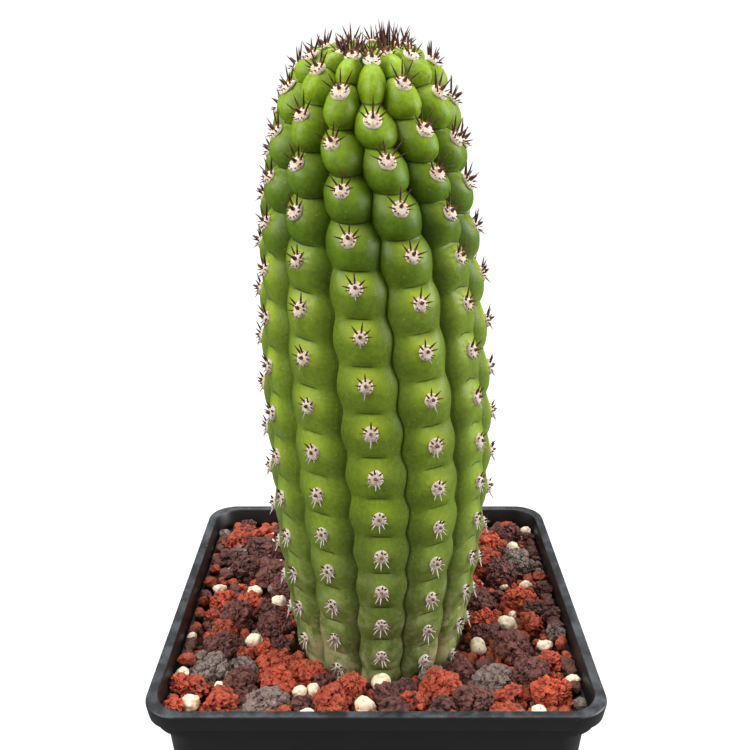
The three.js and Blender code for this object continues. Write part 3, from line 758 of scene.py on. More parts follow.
def cavity_of(mesh):
    """How far each vertex stands out of its neighbours, from 0 in a pit to 1 on a ridge."""
    points = positions(mesh)
    normals = np.empty(len(points) * 3)
    mesh.vertices.foreach_get("normal", normals)
    normals = normals.reshape(-1, 3)
    ends = np.empty(len(mesh.edges) * 2, int)
    mesh.edges.foreach_get("vertices", ends)
    a, b = ends.reshape(-1, 2).T
    total, degree = np.zeros_like(points), np.zeros(len(points))
    for i, j in ((a, b), (b, a)):
        np.add.at(total, i, points[j])
        np.add.at(degree, i, 1)
    lift = np.einsum("ij,ij->i", points - total / degree[:, None], normals)
    # Twice smoothed over the neighbours, so that pits show as pits and not as single points.
    for _ in range(2):
        spread = np.zeros(len(points))
        for i, j in ((a, b), (b, a)):
            np.add.at(spread, i, lift[j])
        lift = 0.5 * lift + 0.5 * spread / degree
    return 0.5 + 0.5 * np.tanh(lift / (1.6 * lift.std() + 1e-9))


def stone_master(name, subdivisions, layers, seed):
    """A grain of unit radius: an icosphere displaced by clouds, each (kind, scale, strength)."""
    clear_selection()
    bpy.ops.mesh.primitive_ico_sphere_add(subdivisions=subdivisions, radius=1)
    grain = bpy.context.object
    grain.name = name
    # It is moved to its own part of the clouds and back.
    away = (seed * 7.3, seed * 3.1, 0)
    with editing(grain):
        bpy.ops.transform.resize(value=(1.06, 0.94, 0.88))
        bpy.ops.transform.translate(value=away)
    for i, (kind, scale, strength) in enumerate(layers):
        texture = bpy.data.textures.new(f"{name}_{i}", "CLOUDS")
        texture.noise_scale = scale
        texture.noise_type = kind
        texture.noise_depth = 2
        apply_modifier(grain, "DISPLACE", texture=texture, strength=strength, mid_level=0.5,
                       texture_coords="LOCAL")
        bpy.data.textures.remove(texture)
    with editing(grain):
        bpy.ops.transform.translate(value=tuple(-step for step in away))
    points = positions(grain.data)
    points -= (points.max(0) + points.min(0)) / 2
    points /= np.linalg.norm(points, axis=1).mean()
    set_positions(grain.data, points)
    set_attribute(grain.data, "cavity", cavity_of(grain.data))
    return grain


def random_turn(chance):
    """A turn in space with every direction as likely."""
    parts = [chance.gauss(0, 1) for _ in range(4)]
    return Quaternion(parts).normalized().to_matrix().to_4x4()


def heap(name, material, laid, rounded=False):
    """One piece of the gravel, from the (matrix, shade) of every copy of each master."""
    parts = []
    for master, each in laid.items():
        matrices, shades = zip(*each)
        parts.append(copies(f"{name}_part", master, matrices, rounded, shade=shades))
    finish_piece(join(parts), name, material, "gravel")


class CACTUS_OT_stones(bpy.types.Operator):
    """Models a few grains of lava and pumice and lays copies of them on the bed"""

    bl_idname = "cactus.stones"
    bl_label = "Lava and pumice grains"

    def execute(self, context):
        settings = context.scene.cactus_gravel
        chance = random.Random(settings.seed + 1)
        # Hard clouds leave clefts where they are raised, and sharp ridges where they are sunk.
        rough = [("SOFT_NOISE", 1.0, 0.9), ("HARD_NOISE", 0.5, 0.35), ("HARD_NOISE", 0.26, -0.46),
                 ("HARD_NOISE", 0.11, -0.3)]
        coarse = [("SOFT_NOISE", 0.9, 1.0), ("HARD_NOISE", 0.45, 0.4), ("HARD_NOISE", 0.28, -0.46)]
        tumbled = [("SOFT_NOISE", 1.2, 0.6), ("SOFT_NOISE", 0.5, 0.24)]
        # Families of grains as (subdivisions, layers, number of masters, first seed).
        families = {
            "large": (5, rough, 4, 1), "medium": (4, coarse, 4, 11),
            "small": (2, coarse, 4, 16), "pumice": (4, tumbled, 3, 21),
        }
        masters = {
            family: [stone_master(f"{family}_{i}", cuts, layers, first + i) for i in range(count)]
            for family, (cuts, layers, count, first) in families.items()
        }
        groups = {}
        for x, y, radius, level, kind in lay_stones(settings):
            if kind == "pumice":
                # The pumice grains are the smallest, and lie on top.
                least = min(radius, 3.3) * 0.9
                level += 0.4 * (radius - least)
                radius = least
            family = "pumice" if kind == "pumice" else "large" if radius > 4.7 else (
                "medium" if radius > 2.7 else "small")
            master = chance.choice(masters[family])
            stretch = Matrix.Diagonal((chance.uniform(0.92, 1.12), chance.uniform(0.9, 1.06),
                                       chance.uniform(0.82, 0.96), 1))
            size = Matrix.Scale(0.97 * radius * MM, 4)
            place = Matrix.Translation(Vector((x, y, level)) * MM)
            matrix = place @ size @ stretch @ random_turn(chance)
            # Painted shade: chips low down between the grains are darker, as the shade there.
            shade = chance.random() * (0.4 if family == "small" else 1)
            groups.setdefault(kind, {}).setdefault(master, []).append((matrix, shade))
        lavas = [
            ("red", "red_lava_scoria", settings.red, "#7e2c1b", "#d0653f"),
            ("dark", "maroon_lava_scoria", settings.dark, "#3a1b18", "#8c574c"),
            ("grey", "grey_lava_scoria", settings.grey, "#4a3936", "#a49389"),
        ]
        for kind, name, tint, second, pale in lavas:
            material = vesicular_lava(name, tint, srgb(second), srgb(pale))
            heap(f"lava_{kind}", material, groups[kind])
        heap("pumice_grains", cream_pumice(settings), groups["pumice"], rounded=True)
        for master in sum(masters.values(), []):
            remove(master)
        return {"FINISHED"}


class CACTUS_OT_bed(bpy.types.Operator):
    """Shapes the bed of fines that the grains lie on, and strews small crumbs over it"""

    bl_idname = "cactus.bed"
    bl_label = "Gravel bed"

    def execute(self, context):
        settings = context.scene.cactus_gravel
        floor = 2.3  # level of the bed's underside
        clear_selection()
        bpy.ops.mesh.primitive_grid_add(x_subdivisions=110, y_subdivisions=110, size=1)
        bed = context.object
        with editing(bed):
            bpy.ops.mesh.extrude_region_move(TRANSFORM_OT_translate={"value": (0, 0, 1)})
        face_outward(bed)
        points = positions(bed.data)
        upper = points[:, 2] > 0.5
        # The square grid is drawn in to the round corners of the wall.
        width = np.where(upper, wall_width_at(BED_LEVEL + BANK), wall_width_at(floor)) - 2 * 1.7
        radius = corner_radius_at(width)
        flat = points[:, :2] * width[:, None]
        inner = (width / 2 - radius)[:, None]
        over = np.maximum(np.abs(flat) - inner, 0)
        reach = np.linalg.norm(over, axis=1)[:, None]
        pull = np.where(reach > radius[:, None], radius[:, None] / np.maximum(reach, 1e-6), 1)
        flat = np.sign(flat) * (np.minimum(np.abs(flat), inner) + over * pull)
        level = np.where(upper, bed_level_at(flat[:, 0], flat[:, 1]) - 0.6, floor)
        for i in np.nonzero(upper)[0]:
            x, y = flat[i]
            swell = noise.noise((x * 0.35, y * 0.35, 3))
            level[i] += 1.1 * swell + 0.5 * noise.noise((x * 0.9, y * 0.9, 7))
        set_positions(bed.data, np.column_stack([flat, level]) * MM)
        take(bed)
        bpy.ops.object.shade_smooth_by_angle(angle=math.radians(50))
        finish_piece(bed, "gravel_bed", lava_fines(settings), "gravel")

        crumbs = [stone_master(f"crumb_{i}", 2, [("SOFT_NOISE", 0.6, 1.0)], i + 31) for i in range(3)]
        chance = random.Random(settings.seed + 2)
        looks = {
            "crumbs_red": "red_lava_scoria", "crumbs_dark": "maroon_lava_scoria",
            "crumbs_pale": "tumbled_pumice",
        }
        sorts = {name: [] for name in looks}
        half = wall_width_at(BED_LEVEL + 3) / 2 - 3
        while sum(map(len, sorts.values())) < CRUMBS:
            x, y = chance.uniform(-half, half), chance.uniform(-half, half)
            radius = chance.choice((0.5, 0.7, 0.9, 1.2, 1.6))
            if not off_stem(x, y, radius):
                continue
            name = chance.choices(tuple(sorts), weights=(5, 4, 1 if radius < 1 else 0.4))[0]
            level = float(bed_level_at(x, y)) + chance.uniform(-0.4, 0.9)
            matrix = Matrix.Translation(Vector((x, y, level)) * MM) @ Matrix.Scale(radius * MM, 4)
            sorts[name].append((matrix @ random_turn(chance), chance.random()))
        for name, laid in sorts.items():
            shared = {crumb: laid[i::3] for i, crumb in enumerate(crumbs)}
            heap(name, bpy.data.materials[looks[name]], shared)
        for crumb in crumbs:
            remove(crumb)
        return {"FINISHED"}


# ---- Stem -------------------------------------------------------------------------------------

# The same spiral lattice as the solids: areole n lies 8/13 of a turn after areole n - 1.
# side counts ribs to the right and row counts areoles of a rib down from the tip.
RIBS = 13
ROW_SPACING = 12
CROWN_ROWS = 0.9
WAIST_LEVEL = POT_HEIGHT + 68
TIP_LEVEL = POT_HEIGHT + 167.5  # before the crown is tilted
STEM_RADIUS = 35
STEM_Y = -3
FOOT_X, TIP_X = 1.3, -2.6  # the stem leans from the first to the second
CROWN_TILT = 0.18
TABLE_ROWS = np.linspace(0, 24, 4801)  # rows at which levels and runs are looked up
FIRST_AREOLE = 3  # the first that is old enough to show
# How many rows each rib has grown ahead of its neighbours.
RIB_LEAD = np.array([0, 0, 0.12, -0.24, -0.16, 0, 0.08, -0.06, 0.05, -0.08, 0, 0.15, 0.04])
# Areoles of the crown that stand out of line: (number, ribs to the right, rows down).
STRAYS = [
    (23, 0.1, -0.2), (26, 0.1, -0.2), (28, -0.05, -0.1), (31, 0, -0.35), (34, 0.1, -0.1),
    (36, -0.2, 0.1), (39, 0.1, 0), (44, -0.1, 0.2), (47, 0.1, 0), (49, 0.06, 0.12), (52, -0.1, 0.05),
    (62, 0, 0.1),
]
STRAY_REACH = 0.55  # how far the skin round them follows, in ribs and rows


def stem_radius_at(level):
    """Radius over the ribs' crests: a barrel below the waist and a superellipse above it."""
    rise = np.clip((level - WAIST_LEVEL) / (TIP_LEVEL - WAIST_LEVEL), 0, 1)
    below = 1 - 0.32 * (np.minimum(level - WAIST_LEVEL, 0) / 100) ** 2
    return STEM_RADIUS * below * (1 - rise**1.7) ** (1 / 4.5)


def trace_outline():
    """The outline from the tip down as (radius, level, run), run being the distance along it."""
    upper = mix(TIP_LEVEL, WAIST_LEVEL, (np.arange(401) / 400) ** 4.5)
    lower = np.arange(WAIST_LEVEL - 0.5, FOOT_LEVEL - 24, -0.5)
    levels = np.concatenate([upper, lower])
    radii = stem_radius_at(levels)
    steps = np.hypot(np.diff(radii), np.diff(levels))
    return radii, levels, np.concatenate([[0], np.cumsum(steps)])


OUTLINE = trace_outline()


def run_at(row):
    crowding = CROWN_ROWS * (1 - np.exp(-row / CROWN_ROWS))
    return ROW_SPACING * (row - crowding) + 4.1 * (np.tanh((row - 9.4) / 2.5) + 1)


def outline_at(row):
    """Radius, level, and outward direction (across, up) of the outline at a row."""
    radii, levels, runs = OUTLINE
    run = run_at(row)
    at = lambda r: (np.interp(r, runs, radii), np.interp(r, runs, levels))
    radius, level = at(run)
    before, after = at(np.maximum(run - 1.2, 0)), at(run + 1.2)
    across, up = before[1] - after[1], after[0] - before[0]
    size = np.hypot(across, up) + 1e-9
    return radius, level, across / size, up / size


def row_at(level):
    return float(np.interp(-level, -outline_at(TABLE_ROWS)[1], TABLE_ROWS))


def youth_at(level):
    return ease(level, POT_HEIGHT - 10, POT_HEIGHT + 160)


def crown_at(row):
    """In the crown, 1, the swellings stand apart, and lower down, 0, they have fused."""
    return ease(row, 8, 3.6)


def rib_shape(rib, side, row, radius, level):
    """What the form of a rib gives at a place of the lattice.

    The first two are depths under the crest outline: on the chin of the swelling above, and on the
    brow of the next one down. The third is how far the crease between the two lies above the place,
    in millimetres, and is negative below it.
    """
    youth = youth_at(level)
    crown = crown_at(row)
    pitch = TURN * radius / RIBS
    furrow = np.minimum(np.interp(row, [2, 5.5, 8, 11, 17], [5.2, 4.3, 3.0, 2.0, 1.5]), 0.34 * pitch)
    crease = np.minimum(np.interp(row, [3.5, 6, 8.5, 11, 16], [3.3, 2.3, 1.1, 0.7, 0.6]), 0.26 * pitch)
    # From an areole up to the crease over it, in rows.
    above = np.interp(row, [4.5, 9, 12, 15, 19], [0.26, 0.38, 0.48, 0.48, 0.4])
    fullest = mix(0.14, 0.32, crown)  # and down to its swelling's fullest part
    across = 2 * np.abs(side - rib)
    phase = (5 * rib) % RIBS / RIBS
    sagging = row + mix(0.03, 0.12, crown) * np.minimum(across, 1.3) ** 2
    upper = np.floor(sagging - fullest - phase) + phase
    downward = (sagging - upper - fullest) / (1 - above - fullest)
    upward = (upper + 1 + fullest - sagging) / (above + fullest)
    # A swelling is broadest where it is fullest, and tapers most towards its top.
    chin_width = 1 - mix(0.06, 0.10, crown) * np.minimum(downward, 1.2) ** 2
    brow_width = 1 - mix(0.08, 0.30, crown) * np.minimum(upward, 1.2) ** 2
    # Below the crown the crease fades out towards the furrows.
    to_furrow = ease(across, mix(0.1, 0, crown), mix(0.7, 1, crown))
    crease = crease * (1 - mix(0.97, 0.1, crown) * to_furrow)
    flatness = mix(2.9, 2.1, youth)
    over_fold = (sagging - (upper + 1 - above)) * ROW_SPACING
    waist = np.interp(row, [3.6, 6.5, 11, 16], [0, 0.8, 0.6, 0.35]) * bell(over_fold, 3.4)
    chin = waist + furrow * (across / chin_width) ** flatness + crease * downward ** mix(4, 3.2, crown)
    brow = waist + furrow * (across / brow_width) ** flatness + crease * upward**1.8
    return chin, brow, over_fold


def rib_depth(rib, side, row, radius, level):
    return np.minimum(*rib_shape(rib, side, row, radius, level)[:2])


def furrow_places(rows):
    """Where the furrow after each rib runs, as a side for every row, found by halving."""
    radius, level, _, _ = outline_at(rows)
    found = []
    for rib in range(RIBS):
        low, high = np.full(len(rows), rib + 0.2), np.full(len(rows), rib + 0.8)
        for _ in range(18):
            middle = (low + high) / 2
            own = rib_depth(rib, middle, rows, radius, level)
            other = rib_depth(rib + 1, middle, rows, radius, level)
            low, high = np.where(own < other, middle, low), np.where(own < other, high, middle)
        found.append((low + high) / 2)
    return np.array(found)


def rib_twist_at(level):
    lean = -0.17 * between(level, POT_HEIGHT + 30, POT_HEIGHT + 155)
    return lean - 0.22 * between(level, POT_HEIGHT + 105, POT_HEIGHT + 155) ** 2


def grown_place(side, row):
    """Where a place of the even lattice really lies, as (side, row)."""
    rib = np.floor(side).astype(int)
    lead = mix(RIB_LEAD[rib % RIBS], RIB_LEAD[(rib + 1) % RIBS], side - rib)
    grown_row = row - lead * ease(row, 19, 11.7) * between(row, 2, 7)
    grown_row = grown_row - 0.1 * ease(row, 4.6, 2.2) * between(row, 0, 1)
    grown_side = side
    for number, aside, down in STRAYS:
        across = (side - 8 * number + RIBS / 2) % RIBS - RIBS / 2
        pull = bell(np.hypot(across, row - number / RIBS), STRAY_REACH)
        grown_side = grown_side + aside * pull
        grown_row = grown_row + down * pull
    return grown_side, grown_row


def stem_points(side, row, depth=None):
    """Points of the skin, in millimetres, at places of the lattice."""
    side, row = np.asarray(side, float), np.asarray(row, float)
    grown_side, grown_row = grown_place(side, row)
    radius, level, across, up = outline_at(grown_row)
    if depth is None:
        depth = rib_depth(np.floor(side + 0.5), side, row, radius, level)
    angle = 0.01 + grown_side * TURN / RIBS + rib_twist_at(level)
    # The ribs at the front are a little broader than those at the back.
    middle = ease(level, 135, 165) * ease(level, 266, 240)
    angle = angle + 0.09 * middle * np.sin(angle)
    # The growing point lies a little below the crown round it.
    dip = 1.6 * bell(radius, 7)
    reach = radius - depth * across
    x = mix(FOOT_X, TIP_X, ease(level, POT_HEIGHT + 40, POT_HEIGHT + 140)) + reach * np.sin(angle)
    y = STEM_Y - reach * np.cos(angle)
    # The crown faces a little to the front, so it rises towards the back.
    rise = CROWN_TILT * ease(level, POT_HEIGHT + 52, POT_HEIGHT + 144) * (y - STEM_Y + STEM_RADIUS)
    return np.stack([x, y, level - depth * up - dip + rise], -1)


class CACTUS_OT_stem(bpy.types.Operator):
    """Wraps a fine sheet round the stem's lattice, with every furrow on an edge of the sheet"""

    bl_idname = "cactus.stem"
    bl_label = "Ribbed stem"

    def execute(self, context):
        settings = context.scene.cactus_stem
        across = settings.faces
        last = row_at(FOOT_LEVEL + 4)
        soil = row_at(BED_LEVEL)
        # Rows lie closer together in the crown, where the swellings are small.
        crown_run = 24
        runs = np.concatenate(
            [np.linspace(0, crown_run, 62)[:-1], np.linspace(crown_run, run_at(soil), 262)])
        rows = np.interp(runs, run_at(TABLE_ROWS), TABLE_ROWS)
        rows = np.concatenate([rows, np.linspace(soil, last, 9)[1:], [last]])
        clear_selection()
        bpy.ops.mesh.primitive_grid_add(
            x_subdivisions=across * RIBS, y_subdivisions=len(rows) - 1, size=2)
        skin = context.object
        start = positions(skin.data)
        column = np.round((start[:, 0] + 1) / 2 * across * RIBS).astype(int)
        line = np.round((1 - start[:, 1]) / 2 * (len(rows) - 1)).astype(int)
        edges = furrow_places(rows)
        # The columns of a rib run from the furrow before it to the furrow after it.
        rib = np.minimum(column // across, RIBS - 1)
        step = (column - rib * across) / across
        step = mix(step, 0.5 - 0.5 * np.cos(math.pi * step), 0.55)
        before = np.where(rib > 0, edges[rib - 1, line], edges[RIBS - 1, line] - RIBS)
        side = mix(before, edges[rib, line], step)
        row = rows[line]
        radius, level, _, _ = outline_at(row)
        chin, brow, over_fold = rib_shape(rib, side, row, radius, level)
        own = np.minimum(chin, brow)
        left = rib_depth(rib - 1, side, row, radius, level)
        right = rib_depth(rib + 1, side, row, radius, level)
        gap = np.maximum(np.minimum(left, right) - own, 0)
        youth = youth_at(level)
        crown = crown_at(row)
        away = np.abs(side - rib)
        # Thin folds along the furrows, and under each swelling over the middle of the rib.
        folded = 1 - ease(away, mix(0.1, 0.42, crown), mix(0.24, 0.7, crown))
        exposed = between(level, BED_LEVEL - 2, BED_LEVEL + 6)
        groove = mix(0.3, 0.6, youth) * bell(gap, 0.5)
        groove = groove + mix(0.25, 0.45, youth) * folded * bell(over_fold, 0.5)
        depth = own + groove * exposed * between(radius, 3, 14)
        points = stem_points(side, row, depth=depth)
        # The plant's own unevenness, over 20 mm and over 5 mm.
        for i in range(len(points)):
            p = Vector(points[i])
            swell = 0.45 * noise.noise(p * 0.05) + 0.14 * noise.noise(p * 0.2)
            points[i, :2] += (points[i, :2] - (0, STEM_Y)) / STEM_RADIUS * swell
        points[line == len(rows) - 1] = (FOOT_X, STEM_Y, FOOT_LEVEL)
        set_positions(skin.data, points * MM)

        phase = (5 * rib) % RIBS / RIBS
        over = np.mod(phase - row, 1)  # rows up to the place from the next areole down
        # Painted light: between each areole and the fold over it the brow faces up to the lamps and is
        # drawn paler, and down the middle of the chin it is darker.
        apart = np.where(over < 0.7, over, over - 1)  # rows above the nearest areole
        flush = bell(apart - 0.1, 0.24) * mix(0.25, 1, ease(over_fold, -0.1, 1.4))
        flush = flush * bell(away, mix(0.18, 0.25, between(level, 150, 230)))
        flush = flush * mix(0.85, 0.3, crown) * ease(level, BED_LEVEL + 5, BED_LEVEL + 115)
        midline = bell(away, 0.06) * (1 - between(over, 0.75, 0.9)) * between(over, 0.42, 0.6)
        near_fold = folded * (1 - ease(np.abs(over_fold), 1.2, 2.6))
        # Cork creeps up from the gravel, most of all at the front left and at the right.
        angle = np.arctan2(points[:, 0] - FOOT_X, STEM_Y - points[:, 1])
        worn = 0.35 * bell(angle + 0.62, 0.4) + 0.3 * bell(angle - 0.75, 0.4)
        climb = 1 - between(level, BED_LEVEL + 2, BED_LEVEL + 26 + 60 * worn)
        shown = {
            "flush": flush, "midline": 0.3 * midline * ease(level, 170, 220), "furrow": gap,
            "fold": np.clip(over_fold, -3, 3), "folded": near_fold * exposed,
            "crest": 1 - ease(away, 0.05, 0.5), "youth": between(level, BED_LEVEL, TIP_LEVEL - 8),
            "cork": climb * (0.38 + worn),
        }
        for name, values in shown.items():
            set_attribute(skin.data, name, values)
        with editing(skin):
            bpy.ops.mesh.remove_doubles(threshold=0.000004)
            bpy.ops.mesh.normals_make_consistent(inside=False)
        bpy.ops.object.shade_smooth()
        finish_piece(skin, "stem_skin", waxy_skin(settings), "cactus")
        return {"FINISHED"}


# ---- Areoles and spines -----------------------------------------------------------------------

# Spines of one areole as (turn from upward, lean out of the skin, lengths at the ages below, radius at
# the foot, how dark when young and when old). Angles in degrees, lengths in mm.
SPINES = [
    (0, 32, (1.4, 2.0, 3.8, 5.2), 0.38, 1, 1),
    (-42, 34, (1.4, 1.8, 3.2, 5.0), 0.38, 1, 1),
    (42, 34, (1.4, 1.8, 3.2, 5.0), 0.38, 1, 1),
    (-82, 32, (1.6, 1.8, 2.6, 4.4), 0.32, 1, 0.7),
    (82, 32, (1.6, 1.8, 2.6, 4.4), 0.32, 1, 0.7),
    (-114, 28, (2.1, 1.6, 1.6, 2.0), 0.25, 1, 0.05),
    (114, 28, (2.1, 1.6, 1.6, 2.0), 0.25, 1, 0.05),
    (-146, 26, (2.6, 2.5, 1.4, 1.5), 0.25, 1, 0.05),
    (146, 26, (2.6, 2.5, 1.4, 1.5), 0.25, 1, 0.05),
    (180, 24, (3.4, 3.0, 2.3, 1.7), 0.28, 0.6, 0),
    (8, 84, (1.2, 1.3, 1.9, 2.6), 0.74, 0.95, 0.9),
]
SPINE_AGES = [0.05, 0.33, 0.68, 0.95]  # heights of the areoles between the gravel and the tip
# Two dense tufts over the growing point: (aside, back, spread, number of spines, length).
TUFTS = [(-5.2, -5, 2.2, 14, 6.6), (6.2, 5, 3.2, 19, 7.8)]


def lattice_frame(side, row):
    """The skin's place and its (right, up, out) directions at a point of the lattice."""
    step = 0.04
    here, right, left = (stem_points(side + s, row)[()] for s in (0, step, -step))
    down, above = stem_points(side, row + step)[()], stem_points(side, max(row - step, 0.0))[()]
    across = Vector(right - left).normalized()
    up = Vector(above - down).normalized()
    out = across.cross(up).normalized()
    up = out.cross(across)
    return Vector(here), across, up, out


def drawn_out(vertices, rings):
    """A body on a polygon of unit radius, drawn up by (rise, narrowing) rings."""
    clear_selection()
    bpy.ops.mesh.primitive_circle_add(vertices=vertices, radius=1, fill_type="NGON")
    body = bpy.context.object
    with editing(body):
        for rise, narrowing in rings:
            bpy.ops.mesh.extrude_region_move(TRANSFORM_OT_translate={"value": (0, 0, rise)})
            bpy.ops.transform.resize(value=(narrowing, narrowing, 1))
    face_outward(body)
    return body


def cushion_master():
    """A low domed cushion of wool of unit radius."""
    pad = drawn_out(14, ((0.3, 0.97), (0.27, 0.87), (0.22, 0.76), (0.14, 0.58), (0.05, 0.35)))
    points = positions(pad.data)
    points[:, 2] /= points[:, 2].max()
    set_attribute(pad.data, "heart", np.clip(1.25 - np.linalg.norm(points[:, :2], axis=1), 0, 1))
    set_positions(pad.data, points)
    return pad


def spine_master():
    """A slender spine of unit length and foot radius: a pentagon drawn out to a point."""
    spine = drawn_out(5, ((0.14, 0.84), (0.31, 0.78), (0.33, 0.62), (0.22, 0.14)))
    set_attribute(spine.data, "along", positions(spine.data)[:, 2])
    return spine


def spine_count_at(n):
    """The newest areoles have put out only some of their spines."""
    return 0 if n < 10 else 3 if n < 16 else 6 if n < 23 else len(SPINES)


class CACTUS_OT_areoles(bpy.types.Operator):
    """Sets a cushion of wool and its spines on every swelling of the ribs"""

    bl_idname = "cactus.areoles"
    bl_label = "Areoles and spines"

    def execute(self, context):
        settings = context.scene.cactus_areoles
        chance = random.Random(settings.seed)
        pads, pad_youth, spines, dark = [], [], [], []

        def add_spine(foot, direction, size, thickness, darkness):
            turn = direction.to_track_quat("Z", "Y").to_matrix().to_4x4()
            twist = Matrix.Rotation(chance.uniform(0, TURN), 4, "Z")
            shape = Matrix.Diagonal((thickness * MM, thickness * MM, size * MM, 1))
            spines.append(Matrix.Translation(foot * MM) @ turn @ twist @ shape)
            dark.append(darkness)

        last = row_at(BED_LEVEL + 1.5)
        for n in range(FIRST_AREOLE, int(last * RIBS)):
            side, row = (8 * n) % RIBS, n / RIBS
            here, right, up, out = lattice_frame(side, row)
            radius, level = (float(v) for v in outline_at(row)[:2])
            # Where the ribs run together there is less room for each areole.
            crowding = min(1, 0.34 * TURN * radius / RIBS / 2.7)
            youth = float(between(level, BED_LEVEL, TIP_LEVEL - 10))
            size = settings.radius / MM * crowding * chance.uniform(0.93, 1.07)
            size *= mix(0.82, 1, float(between(level, BED_LEVEL + 5, BED_LEVEL + 70)))
            size *= mix(1, 1.12, float(between(level, TIP_LEVEL - 50, TIP_LEVEL - 15)))
            height = settings.height / MM * crowding * chance.uniform(0.9, 1.15)
            # Near the growing point the areoles sit on the outer shoulder of their swellings.
            facing = 0.75 * smooth(float(between(row, 3.6, 1.4)))
            outward = Vector((here.x - TIP_X, here.y - STEM_Y, 0)).normalized()
            out = (out + facing * outward).normalized()
            right = up.cross(out).normalized()
            up = out.cross(right)
            here = here + 0.9 * facing * outward
            basis = Matrix((right, up, out)).transposed().to_4x4()
            shape = Matrix.Diagonal((size, size * chance.uniform(1.0, 1.12), height, 1))
            spin = Matrix.Rotation(chance.uniform(0, TURN), 4, "Z")
            sunk = here - out * 0.35
            pads.append(Matrix.Scale(MM, 4) @ Matrix.Translation(sunk) @ basis @ shape @ spin)
            pad_youth.append(youth)
            tip = smooth(float(between(level, TIP_LEVEL - 62, TIP_LEVEL - 4)))
            grown = smooth(float(between(level, BED_LEVEL + 45, BED_LEVEL + 115)))
            for angle, lean, lengths, thickness, dark_young, dark_old in SPINES[:spine_count_at(n)]:
                long = float(np.interp(youth, SPINE_AGES, lengths)) * chance.uniform(0.85, 1.15)
                long *= mix(0.6, 1, float(between(row, 0.8, 2.6)))
                around = math.radians(angle + chance.uniform(-9, 9))
                rise = math.radians(lean + 12 * tip + chance.uniform(-6, 6))
                flat = up * math.cos(around) + right * math.sin(around)
                direction = (flat * math.cos(rise) + out * math.sin(rise)).normalized()
                # The central spine stands in the middle, and the others nearer to the edge.
                aside, deep = (0.6, 0.55) if lean < 60 else (0.1, 0.75)
                foot = sunk + flat * aside * size + out * height * deep
                thickness = thickness * mix(1, 0.85, 1 - crowding)
                add_spine(foot, direction, long, thickness, mix(dark_old, dark_young, grown))
        for aside, back, spread, count, size in TUFTS:
            for _ in range(count):
                around, reach = chance.uniform(0, TURN), spread * math.sqrt(chance.random())
                x, y = aside + reach * math.cos(around), back + reach * math.sin(around)
                level = TIP_LEVEL + 4.6 + CROWN_TILT * y - 0.012 * (x * x + y * y)
                foot = Vector((x + TIP_X, y + STEM_Y, level))
                splay = 0.09 * reach
                direction = Vector((splay * math.cos(around) + 0.02 * x + chance.uniform(-0.18, 0.18),
                                    splay * math.sin(around) - 0.1 + chance.uniform(-0.18, 0.18), 1))
                add_spine(foot, direction.normalized(), size * chance.uniform(0.65, 1.15), 0.38, 1)

        cushion, spine = cushion_master(), spine_master()
        felt = copies("areole_wool", cushion, pads, youth=pad_youth)
        # The wool is matted over about 1 mm. Without its seed this noise follows the clock.
        noise.seed_set(settings.seed + 1)
        points = positions(felt.data)
        for i in range(len(points)):
            p = Vector(points[i]) / MM
            points[i] += np.array(noise.noise_vector(p * 1.1)) * 0.22 * MM
        set_positions(felt.data, points)
        finish_piece(felt, "areole_wool", areole_felt(settings), "cactus")
        horns = copies("spines", spine, spines, dark=dark)
        finish_piece(horns, "spines", spine_horn(settings), "cactus")
        remove(cushion)
        remove(spine)
        return {"FINISHED"}


# ---- Studio -----------------------------------------------------------------------------------

CAMERA_ASIDE = -0.34 * MM
CAMERA_DIP = 18.42  # degrees that the camera looks down

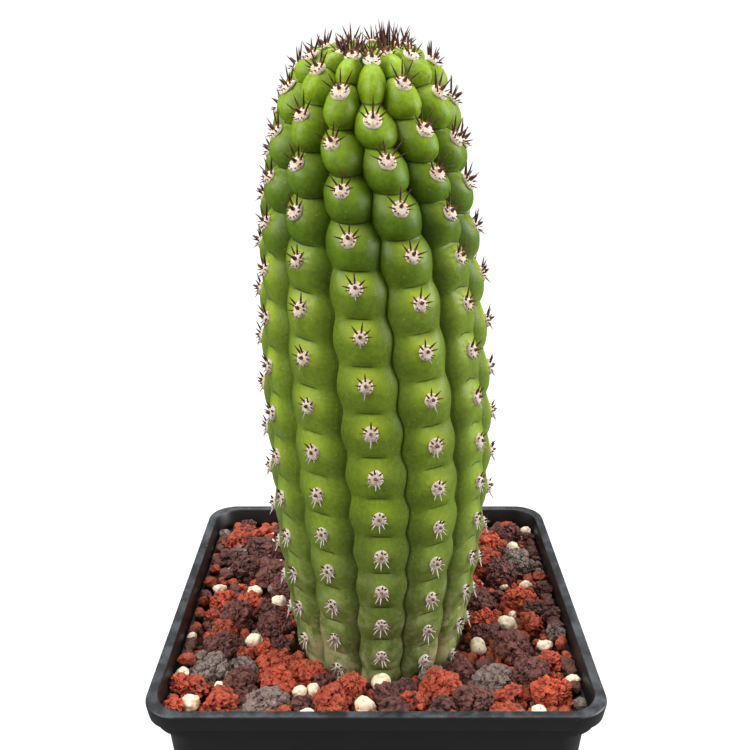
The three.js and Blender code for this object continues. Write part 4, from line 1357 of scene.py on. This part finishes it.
class CACTUS_OT_studio(bpy.types.Operator):
    """Lays a plain white floor, hangs soft lights and sets up the camera"""

    bl_idname = "cactus.studio"
    bl_label = "Studio"

    def execute(self, context):
        settings = context.scene.cactus_studio
        scene = context.scene
        clear_selection()
        bpy.ops.mesh.primitive_circle_add(vertices=64, radius=6, fill_type="NGON")
        floor = context.object
        floor.name = "studio_floor"
        material, tree = new_material("white_paper_sweep")
        # Paper lit from below, as on a light table, so that it photographs white.
        dim = (*(c * 0.2 for c in settings.floor[:3]), 1)
        seen = node(tree, "LightPath").outputs["Is Camera Ray"]
        seen = node(tree, "Math", [seen, 1.1], operation="MULTIPLY")
        glow = node(tree, "Emission", {"Color": settings.floor, "Strength": seen})
        both = node(tree, "AddShader", [node(tree, "BsdfDiffuse", {"Color": dim}), glow])
        node(tree, "OutputMaterial", {"Surface": both})
        floor.data.materials.append(material)

        world = bpy.data.worlds.new("white_studio")
        scene.world = world
        world.use_nodes = True
        tree = world.node_tree
        tree.nodes.clear()
        seen = node(tree, "LightPath").outputs["Is Camera Ray"]
        # The walls of the studio are lit from above, so they grow brighter upward and to the sides.
        way = node(tree, "SeparateXYZ", [node(tree, "TexCoord").outputs["Generated"]]).outputs
        lit = node(tree, "MapRange", [way["Z"], -0.1, 0.9, 0.1, 0.6])
        sides = node(tree, "Math", [way["X"], way["X"]], operation="MULTIPLY")
        lit = node(tree, "Math", [sides, 0.25, lit], operation="MULTIPLY_ADD")
        strength = node(tree, "Mix", {0: seen, 2: lit, 3: 1.05}, data_type="FLOAT")
        sky = node(tree, "Background", {"Color": srgb("#ffffff"), "Strength": strength})
        node(tree, "OutputWorld", {"Surface": sky})

        # Lamps as (name, place in metres, width in metres, watts), all turned to the plant's middle.
        middle = Vector((0, 0, 0.19))
        lamps = [
            ("key_softbox", (-0.6, -0.35, 0.75), 0.5, 8.0),
            ("right_softbox", (0.75, -0.05, 0.45), 0.45, 7.5),
            ("top_softbox", (0.0, 0.2, 1.1), 0.6, 8.0),
        ]
        for name, place, size, power in lamps:
            lamp = bpy.data.lights.new(name, "AREA")
            lamp.shape = "SQUARE"
            lamp.size = size
            lamp.energy = power
            holder = bpy.data.objects.new(name, lamp)
            scene.collection.objects.link(holder)
            holder.location = place
            holder.rotation_euler = (middle - Vector(place)).to_track_quat("-Z", "Y").to_euler()

        camera = bpy.data.cameras.new("camera")
        camera.lens = settings.focal_length
        camera.sensor_width = 36
        camera.clip_start = 0.01
        holder = bpy.data.objects.new("camera", camera)
        scene.collection.objects.link(holder)
        holder.location = (CAMERA_ASIDE, -settings.camera_distance, settings.camera_height)
        holder.rotation_euler = Euler((math.radians(90 - CAMERA_DIP), 0, 0))
        scene.camera = holder
        scene.view_settings.view_transform = "Standard"
        scene.view_settings.look = "None"
        return {"FINISHED"}


class CACTUS_PT_panel(bpy.types.Panel):
    """Lists the steps that build the plant"""

    bl_idname = "CACTUS_PT_panel"
    bl_label = "Potted tall cactus"
    bl_space_type = "VIEW_3D"
    bl_region_type = "UI"
    bl_category = "Cactus"

    def draw(self, context):
        groups = [
            ("cactus_pot", ["cactus.pot"]),
            ("cactus_gravel", ["cactus.stones", "cactus.bed"]),
            ("cactus_stem", ["cactus.stem"]),
            ("cactus_areoles", ["cactus.areoles"]),
            ("cactus_studio", ["cactus.studio"]),
        ]
        for group, steps in groups:
            box = self.layout.box()
            settings = getattr(context.scene, group)
            for name in settings.__annotations__:
                box.prop(settings, name)
            for step in steps:
                box.operator(step)


SETTINGS = {
    "cactus_pot": PotSettings,
    "cactus_gravel": GravelSettings,
    "cactus_stem": StemSettings,
    "cactus_areoles": AreoleSettings,
    "cactus_studio": StudioSettings,
}
CLASSES = [
    *SETTINGS.values(), CACTUS_OT_studio, CACTUS_OT_pot, CACTUS_OT_stones, CACTUS_OT_bed,
    CACTUS_OT_stem, CACTUS_OT_areoles, CACTUS_PT_panel,
]


def register():
    for cls in CLASSES:
        bpy.utils.register_class(cls)
    for name, cls in SETTINGS.items():
        setattr(bpy.types.Scene, name, bpy.props.PointerProperty(type=cls))


def unregister():
    for name in SETTINGS:
        delattr(bpy.types.Scene, name)
    for cls in reversed(CLASSES):
        bpy.utils.unregister_class(cls)


def main():
    register()
    bpy.ops.cactus.studio()
    bpy.ops.cactus.pot()
    bpy.ops.cactus.stones()
    bpy.ops.cactus.bed()
    bpy.ops.cactus.stem()
    bpy.ops.cactus.areoles()


if __name__ == "__main__":
    main()
